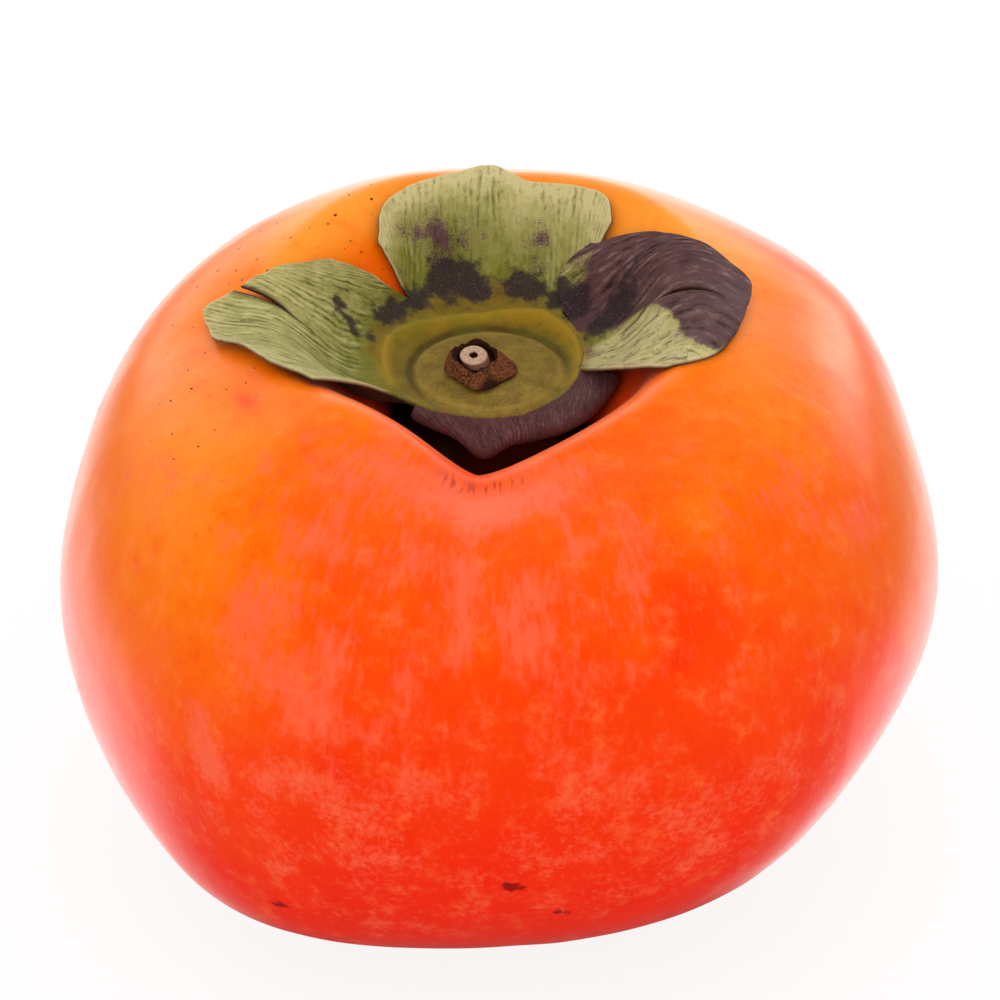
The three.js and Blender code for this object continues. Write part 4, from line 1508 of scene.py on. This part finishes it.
    def net(self) -> Net:
        """The whole calyx: plate and dish, then each lobe from the dish's rim, welded and thickened.

        Returns:
            The closed net.
        """
        sheets: list[Net] = [self.plate_net()]
        for lobe in self.lobes:
            for grid in self.blocks(partial(self.lying_surface, lobe), lobe.columns, lobe.split):
                sheets.append(self.sheet(
                    *grid, lobe.region, lobe.start, lobe.end, lobe.ridge_spacing, lobe.split
                ))
        for grid in self.blocks(self.rolled_surface, self.rolled_columns, None):
            sheets.append(self.sheet(
                *grid, Region.FRONT, self.rolled_start, self.rolled_end, self.rolled_ridge_spacing
            ))
        count = np.cumsum([0, *(len(sheet.points) for sheet in sheets)])
        whole = Net(
            np.concatenate([sheet.points for sheet in sheets]),
            np.concatenate([sheet.triangles + start for sheet, start in zip(sheets, count)]),
            {name: np.concatenate([sheet.values[name] for sheet in sheets]) for name in sheets[0].values},
        ).welded()
        thickness = whole.values.pop("thickness")
        return whole.thickened(thickness)

    def rim_azimuths(self) -> Array:
        """The azimuths of all the lobes' columns round the dish, closed.

        Returns:
            The azimuths in order.
        """
        around = [lobe.root_azimuth(np.arange(lobe.columns) / lobe.columns) for lobe in self.lobes]
        rolled = np.linspace(self.rolled_start, self.rolled_end, self.rolled_columns, endpoint=False)
        return np.concatenate([*around, rolled, [self.lobes[0].start + 360.0]])

    def plate_net(self) -> Net:
        """The plate and its dish: rings about the axis that reach the rim under every lobe's column.

        Returns:
            The net, with its marks and its thickness: solid down to the gap under the plate, and a blade's
            under the dish.
        """
        azimuth = self.rim_azimuths()[None, :]
        share = np.concatenate([np.linspace(0.08, 0.88, 9), np.linspace(0.92, 1.14, 8)])[:, None]
        wall = np.linspace(0.08, 1.0, 12)[:, None]
        inner = share * np.minimum(self.plate_radius, (self.rim_radius(azimuth) - 0.15) / share[-1])
        outer = mix(inner[-1:], self.rim_radius(azimuth), wall)
        radius = np.concatenate([inner, outer])
        azimuth = np.broadcast_to(azimuth, radius.shape)
        height = self.dish_height(radius, azimuth)
        points = self.about_axis(radius, azimuth, height)
        index = np.arange(radius.size).reshape(radius.shape)
        floor = self.fruit.basin_floor_height + self.fruit.equator_height - self.fruit.foot_height
        thinned = ramp(radius, self.plate_radius - 2.4, self.plate_radius - 0.2)
        thickness = mix(height - floor - self.gap, self.blade, thinned)
        centre = self.about_axis(np.zeros(1), np.zeros(1), self.dish_height(np.zeros(1), np.zeros(1)))
        net = Net(
            np.concatenate([points.reshape(-1, 3), centre]),
            np.concatenate([Net.fan(radius.size, index[0]), Net.strips(index)]),
        )
        plan = np.append(radius.ravel(), 0.0)
        around = np.append(azimuth.ravel(), 0.0)
        nothing = np.zeros_like(plan)
        net.values = self.marks(net.points, nothing, nothing, Region.PLATE)
        net.values["vein"] = np.stack([np.radians(around) * 8.0, plan * 0.2, nothing], axis=-1)
        net.values["crest"] = net.values["torn"] = nothing
        centre_thickness = self.dish_height(np.zeros(1), np.zeros(1)) - floor - self.gap
        net.values["thickness"] = np.append(thickness.ravel(), centre_thickness)
        return net

    def sheet(
        self, points: Array, along: Array, across: Array, region: Region, start: float, end: float,
        spacing: float, split: Split | None = None,
    ) -> Net:
        """One grid of a lobe as a net, with its marks.

        Args:
            points: the grid's points.
            along: 0 at the rim of the dish, 1 at the free edge.
            across: -1 at the right margin, 1 at the left.
            region: which lobe it is.
            start: the azimuth of its right margin at the rim.
            end: the azimuth of its left margin there.
            spacing: from one ridge to the next.
            split: its tear, if any.

        Returns:
            The net.
        """
        index = np.arange(along.size).reshape(along.shape)
        net = Net(points.reshape(-1, 3), Net.strips(index))
        along, across = along.ravel(), across.ravel()
        across_mm, along_mm = self.vein_place(start, end, along, across)
        net.values = self.marks(net.points, along, across, region)
        net.values["vein"] = np.stack([across_mm, 0.09 * along_mm, np.full_like(along, start)], axis=-1)
        # the ridges' height, from which the finish paints highlight and shade
        net.values["crest"] = self.ridges(across_mm, along_mm, start, spacing)
        net.values["torn"] = 0 * along
        if split is not None:
            opened = ramp(along, split.start + 0.2, split.start + 0.45)
            opened = opened * (1 - ramp(along, split.end, split.end + 0.02))
            net.values["torn"] = bell(across - split.at, 0.018, 4.0) * opened
        net.values["thickness"] = np.full(along.size, self.blade)
        return net

    def marks(self, points: Array, along: Array, across: Array, region: Region) -> dict[str, Array]:
        """The calyx's marks at its points.

        Args:
            points: the points.
            along: from 0 at the rim of the dish to 1 at the free edge.
            across: from -1 at the lobe's right margin to 1 at its left.
            region: which part of it they belong to.

        Returns:
            Where it is plate, dish wall, dry, plum, blotted, ribbed or rim, each from 0 to 1, and the fold,
            which is painted highlight on the dish's crest and the plate's shoulder and painted shade in the
            groove behind the plate.
        """
        x, y = points[:, 0] - self.x, points[:, 1]
        radius = np.hypot(x, y)
        azimuth = np.degrees(np.arctan2(y, x))
        ragged = self.creases.layered(np.stack([x, y, 0 * x], axis=-1), 1.6, 3)
        # The wall ends raggedly a little past the dish's rim, and the plate at its groove.
        past_rim = radius - self.rim_radius(azimuth)
        wall = 1.0 - ramp(past_rim + 0.6 * ragged, -0.9, 1.9)
        plate = 1.0 - ramp(radius - 0.4 * bell(turn_between(azimuth, 270), 60) + 0.15 * ragged, 6.7, 7.3)
        # Painted highlight on the dish's crest and on the plate's shoulder, and painted shade in the groove
        # and the dip behind the plate.
        behind = 1 - ramp(np.abs(turn_between(azimuth, 110.0)), 60, 130)
        trough_shade = 0.8 * bell(radius - self.plate_radius - 0.3, 0.35) * behind
        fold = self.dish_crest(radius, azimuth) - trough_shade + 0.35 * bell(radius - self.plate_radius + 0.4, 0.3)
        # Green and smooth at the root, then drier and ribbed; pale at the very rim.
        dry = mix(0.04, 0.5, ramp(along, 0.05, 0.6))
        plum = sum(mottle.cover(x, y) for mottle in MOTTLES)
        blot = sum(blot.cover(x, y) for blot in BLOTS)
        ribbed = ramp(along, 0.02, 0.25)
        sides = ramp(np.abs(across), 0.985, 1.0) * ramp(along, 0.2, 0.4)
        rim = np.maximum(ramp(along, 0.98, 1.0), sides) * 0.6
        if region is Region.BACK:
            # Smoother than the others, green on its left half and straw at its tip.
            ribbed = 0.55 * ribbed
            greener = ramp(across, -0.1, 0.5) * (1 - ramp(along, 0.7, 0.9))
            dry = dry + 0.45 * ramp(along, 0.5, 0.95) - 0.2 * greener
            dry = dry + 0.5 * ramp(along, 0.8, 0.95) * bell(across, 0.3)
        elif region is Region.LEFT:
            dry = dry + 0.12 * ramp(along, 0.6, 1.0)
        elif region is Region.RIGHT:
            # Purple on its left, up to a border that wanders along it, and straw on its right.
            border = through((-0.25, -0.1, -0.2, -0.46, -0.62, -0.56), along)
            dark = ramp(across - border, -0.05, 0.09) * ramp(along + 0.3 * ramp(across, -0.1, 0.6), 0.12, 0.4)
            margin = ramp(across, 0.55, 0.9) * ramp(along, 0.1, 0.3) * (1 - ramp(along, 0.6, 0.95))
            plum = plum + 1.35 * dark - 0.9 * margin + 0.3 * (1 - dark)
            dry = mix(dry, 0.95, 0.85 * (1 - ramp(across - border, -0.15, 0.1)))
            rim = rim * (1 - ramp(across - border, -0.1, 0.1))
        elif region is Region.FRONT:
            # Purple from soon after its left corner on, with no pale rim.
            started = ramp(azimuth % 360.0, 219.5, 223.5)
            plum = plum + 1.3 * started * ramp(along, -0.02, 0.13)
            wall = wall * (1 - 0.8 * started * ramp(along, 0.0, 0.14))
            ribbed = 0.6 * ribbed
            rim = 0 * rim
        return {
            "wall": wall,
            "plate": plate,
            "fold": fold,
            "dry": dry,
            "plum": np.clip(plum, 0.0, 1.4) * (1 - plate),
            "blot": np.clip(blot, 0.0, 1.2) * ramp(radius, 7.4, 8.6),
            "ribbed": ribbed,
            "rim": rim,
        }

    def build(self) -> bpy.types.Object:
        """Makes the calyx and dresses it."""
        return self.net().into_object("calyx_leaf", "calyx", "calyx_leaf", DryLeaf().material())


# ---------------------------------------------------------------- the stalk stub


@dataclass
class Stub:
    """The torn stub of the stalk: a squarish cone of bark, and the wood ring that stands in it."""

    foot: float = 50.4
    x: float = -1.7
    y: float = -1.2
    gap: float = 0.3              # between the socket's floor and the wood
    height: float = 1.5
    base_radius: float = 3.14
    rim_radius: float = 2.2
    corners: float = 0.08         # how far its blunt corners stand out, as a share of its radius
    lean_x: float = -0.6
    lean_y: float = 0.2
    tilt: float = 0.19            # how far its top rises towards the back
    tear: float = 0.2             # how far its torn rim runs up and down
    socket_radius: float = 1.72
    socket_depth: float = 0.95
    wood_radius: float = 1.28
    wood_height: float = 0.75
    pith_radius: float = 0.4
    pith_depth: float = 0.4
    sides: int = 144
    cork: SoftNoise = field(default_factory=lambda: SoftNoise(37))

    def point(self, radius: Array, azimuth: Array, height: Array) -> Array:
        """Points about the stub's leaning axis, tilted more the higher they are.

        Args:
            radius: distance from the axis.
            azimuth: degrees round it.
            height: height over the stub's foot.

        Returns:
            Points in the frame, with x, y and z along a new last axis.
        """
        rise = height / self.height
        return np.stack([
            self.x + self.lean_x * rise + radius * cosine(azimuth),
            self.y + self.lean_y * rise + radius * sine(azimuth),
            self.foot + height + self.tilt * rise * radius * sine(azimuth),
        ], axis=-1)

    def solid(
        self, radii: Array, heights: Array, squareness: Array, tear: Array, steps: int
    ) -> tuple[Net, Array]:
        """A closed solid turned about the stub's axis, from its middle over its top to its foot.

        Args:
            radii: radius at each point of the profile.
            heights: height at each point of the profile, over the foot.
            squareness: how far the bark's corners stand out there.
            tear: how far the torn edge runs up and down there.
            steps: rows of the finished net.

        Returns:
            The net, and each point's share of the way along the profile.
        """
        share = np.linspace(0.0, 1.0, steps)
        at = np.linspace(0.0, 1.0, len(radii))
        radius, height, square, torn = (
            np.interp(share, at, values)[:, None] for values in (radii, heights, squareness, tear)
        )
        azimuth = np.linspace(0.0, 360.0, self.sides, endpoint=False)[None, :]
        around = radius * (1.0 - square * (cosine(4 * azimuth + 190) - 0.4 * sine(3 * azimuth)))
        place = np.stack([3.0 * cosine(azimuth), 3.0 * sine(azimuth), np.zeros_like(azimuth)], axis=-1)
        ragged = (sine(5 * azimuth + 40) + 0.7 * sine(9 * azimuth)) / 2 + 0.7 * self.cork.layered(place, 0.5)
        height = height + torn * ragged
        azimuth = np.broadcast_to(azimuth, around.shape)
        points = self.point(around, azimuth, height)
        middle = self.point(np.zeros(2), np.zeros(2), np.array([heights[0], heights[-1]]))
        index = np.arange(around.size).reshape(around.shape)
        index = np.concatenate([index, index[:, :1]], axis=1)
        net = Net(
            np.concatenate([points.reshape(-1, 3), middle]),
            np.concatenate([
                Net.fan(around.size, index[0]), Net.strips(index), Net.fan(around.size + 1, index[-1][::-1]),
            ]),
        )
        return net, np.append(np.repeat(share, self.sides), [0.0, 1.0])

    def bark(self) -> bpy.types.Object:
        """The bark: out of the socket, over the torn rim and down the cone, with a corky skin.

        Returns:
            The piece.
        """
        floor = self.height - self.socket_depth
        radii = np.array([
            0.2, self.socket_radius - 0.1, self.socket_radius, self.rim_radius - 0.2,
            self.rim_radius + 0.1, self.base_radius - 0.25, self.base_radius, self.base_radius - 0.1,
        ])
        heights = np.array([floor, floor, self.height - 0.2, self.height, self.height - 0.3, 0.5, 0.15, 0.0])
        square = np.array([0, 0, 0.3, 1, 1, 1, 1, 1]) * self.corners
        tear = np.array([0, 0, 1, 1, 1, 0.2, 0, 0]) * self.tear
        net, share = self.solid(radii, heights, square, tear, 64)
        cork = self.cork.layered(net.points, 0.7)
        depth = 0.1 * np.abs(cork) * ramp(share, 0.3, 0.42) * (1 - ramp(share, 0.86, 0.97))
        net.points = net.points - net.normals() * depth[:, None]
        azimuth = np.degrees(np.arctan2(net.points[:, 1] - self.y, net.points[:, 0] - self.x))
        # Darker in the socket and over the torn rim, on the front corner and at the foot:
        corner = bell(turn_between(azimuth, 285.0), 20.0) * ramp(share, 0.5, 0.8)
        socket, foot = 1.0 - ramp(share, 0.36, 0.46), ramp(share, 0.86, 0.95)
        net.values["torn"] = np.maximum(socket, np.maximum(corner, foot))
        return net.into_object("stalk_bark", "stem_bark", "stalk_bark", TornBark().material())

    def wood(self) -> bpy.types.Object:
        """The wood: up out of the pith's hollow, across the broken face, over the bevel and down.

        Returns:
            The piece.
        """
        foot = self.height - self.socket_depth + self.gap
        top = foot + self.wood_height
        radii = np.array([
            0.1, self.pith_radius * 0.8, self.pith_radius, self.wood_radius - 0.1, self.wood_radius,
            self.wood_radius, 0.2,
        ])
        heights = np.array([top - self.pith_depth, top - self.pith_depth, top, top, top - 0.1, foot, foot])
        chipped = np.array([0, 0, 0.04, 0.02, 0, 0, 0])
        net, share = self.solid(radii, heights, np.zeros(7), chipped, 48)
        net.values["pith"] = 1.0 - ramp(share, 0.28, 0.36)
        net.values["edge"] = ramp(share, 0.5, 0.68)
        return net.into_object("stalk_wood", "stem_wood", "stalk_wood", BrokenWood().material())

    def build(self) -> list[bpy.types.Object]:
        """Makes the stub's two pieces."""
        return [self.bark(), self.wood()]


# ---------------------------------------------------------------- the studio


class Role(Enum):
    """What a soft box is for."""

    MAIN = "lights and is mirrored"
    FILL = "lights only"
    SHEEN = "is mirrored only"


@dataclass(frozen=True)
class SoftBox:
    """An area light that looks at the fruit."""

    name: str
    azimuth: float
    elevation: float
    distance: float
    width: float
    height: float
    watts: float
    role: Role = Role.MAIN

    def build(self, target: Vector) -> bpy.types.Object:
        """Places the light, in metres, and turns it to the target.

        Args:
            target: the place that it looks at.

        Returns:
            The light.
        """
        light = bpy.data.lights.new(self.name, "AREA")
        light.shape = "RECTANGLE"
        light.size = self.width
        light.size_y = self.height
        light.energy = self.watts
        piece = bpy.data.objects.new(self.name, light)
        outward = Vector((
            float(cosine(self.azimuth) * cosine(self.elevation)),
            float(sine(self.azimuth) * cosine(self.elevation)),
            float(sine(self.elevation)),
        ))
        piece.location = target + outward * self.distance
        piece.rotation_mode = "QUATERNION"
        piece.rotation_quaternion = (-outward).to_track_quat("-Z", "Y")
        piece.visible_camera = False
        piece.visible_glossy = self.role is not Role.FILL
        piece.visible_diffuse = self.role is not Role.SHEEN
        bpy.context.scene.collection.objects.link(piece)
        return piece


@dataclass
class Studio:
    """A white sweep of floor, a white room, soft boxes and the camera.

    The sweep is lit well above white for the camera, so that it keeps only a breath of contact shadow.
    """

    target: tuple[float, float, float] = (0.1, 0.0, 35.5)
    camera_elevation: float = 33.0
    camera_distance: float = 600.0
    focal_length: float = 232.2
    sensor: float = 36.0
    room: float = 0.9
    floor_size: float = 6.0
    floor_colour: str = "#F2F2F2"
    floor_whiteness: float = 0.88     # the share of its own light that the camera sees
    floor_glow: float = 0.3           # the share of it that lights the fruit
    mirrored_floor: float = 0.05      # how bright the floor is in reflections
    mirrored_strip: float = 2.0       # how much brighter the strip behind the fruit is there
    strip_front: tuple[float, float] = (-0.03, -0.005)          # the strip sets in over these y, in metres
    strip_side: tuple[float, float] = (0.13, 0.07)              # and over these distances from the middle
    foot_place: tuple[float, float, float] = (0.0, -0.015, 0.0)
    foot_ring: tuple[float, float] = (0.02, 0.029)              # it sets in over these distances from there
    boxes: tuple[SoftBox, ...] = (
        SoftBox("overhead_box", -90, 80, 0.8, 0.9, 0.9, 1.5),
        SoftBox("back_box", 90, 25, 0.9, 1.6, 0.8, 4.0),
        SoftBox("front_fill", -100, 30, 1.2, 0.8, 0.8, 2.0, Role.FILL),
        SoftBox("left_strip", 138, -4, 0.8, 0.4, 0.6, 0.5, Role.SHEEN),
        SoftBox("right_strip", 48, -4, 0.8, 0.4, 0.6, 2.4, Role.SHEEN),
        SoftBox("horizon_strip", 90, 6, 0.9, 1.4, 0.5, 2.4, Role.SHEEN),
    )

    def floor(self) -> bpy.types.Object:
        """The sweep: white paper for most rays, and its own light for the camera's and the mirrored ones.

        In the skin's reflections it is dark, but for a bright strip behind the fruit that leaves out a
        ring round its foot.

        Returns:
            The floor, which is part of the stage.
        """
        half = self.floor_size / 2.0
        corners = [(-half, -half, 0.0), (half, -half, 0.0), (half, half, 0.0), (-half, half, 0.0)]
        mesh = bpy.data.meshes.new("floor")
        mesh.from_pydata(corners, [], [(0, 1, 2, 3)])
        p = Painter("white_sweep")
        here = p.add("TexCoord", out="Object")
        x = p.add("SeparateXYZ", here)
        strip = p.add("MapRange", x.beside("Y"), *self.strip_front, **SMOOTH)
        strip *= p.add("MapRange", p.add("Math", x, operation="ABSOLUTE"), *self.strip_side, **SMOOTH)
        from_foot = p.add("VectorMath", here, self.foot_place, operation="DISTANCE")
        strip *= p.add("MapRange", from_foot, *self.foot_ring, **SMOOTH)
        ray = p.add("LightPath")
        mirrored = ray.beside("Is Glossy Ray")
        strength = (strip * self.mirrored_strip - (1.0 - self.mirrored_floor)) * mirrored + 1.0
        share = ray.beside("Is Camera Ray") * self.floor_whiteness + mirrored
        share += ray.beside("Is Diffuse Ray") * self.floor_glow
        paper = p.add("BsdfDiffuse", colour(self.floor_colour))
        light = p.add("Emission", colour("#FFFFFF"), strength)
        p.add("OutputMaterial", p.add("MixShader", share, paper, light))
        mesh.materials.append(p.material)
        piece = bpy.data.objects.new("floor", mesh)
        bpy.context.scene.collection.objects.link(piece)
        return piece

    def camera(self) -> bpy.types.Object:
        """The camera, level from side to side and looking down on the fruit from the front.

        Returns:
            The camera.
        """
        data = bpy.data.cameras.new("camera")
        data.lens = self.focal_length
        data.sensor_width = self.sensor
        data.clip_start = 0.01
        data.clip_end = 50.0
        piece = bpy.data.objects.new("camera", data)
        back = Vector((0.0, -float(cosine(self.camera_elevation)), float(sine(self.camera_elevation))))
        piece.location = (Vector(self.target) + back * self.camera_distance) * MM
        piece.rotation_mode = "QUATERNION"
        piece.rotation_quaternion = (-back).to_track_quat("-Z", "Y")
        bpy.context.scene.collection.objects.link(piece)
        bpy.context.scene.camera = piece
        return piece

    def build(self) -> None:
        """Sets the room, the floor, the lights and the camera."""
        world = bpy.data.worlds.new("white_room")
        world.use_nodes = True
        background = world.node_tree.nodes["Background"]
        background.inputs["Color"].default_value = (1.0, 1.0, 1.0, 1.0)
        background.inputs["Strength"].default_value = self.room
        bpy.context.scene.world = world
        world.cycles_visibility.glossy = False
        bpy.context.scene.view_settings.view_transform = "Standard"
        self.floor()
        for box in self.boxes:
            box.build(Vector(self.target) * MM)
        self.camera()


def main() -> None:
    """Builds the studio and the fruit's pieces."""
    logging.basicConfig(level=logging.INFO, format="%(name)s: %(message)s")
    Studio().build()
    fruit = Fruit()
    fruit.build()
    Calyx(fruit).build()
    Stub().build()


if __name__ == "__main__":
    main()
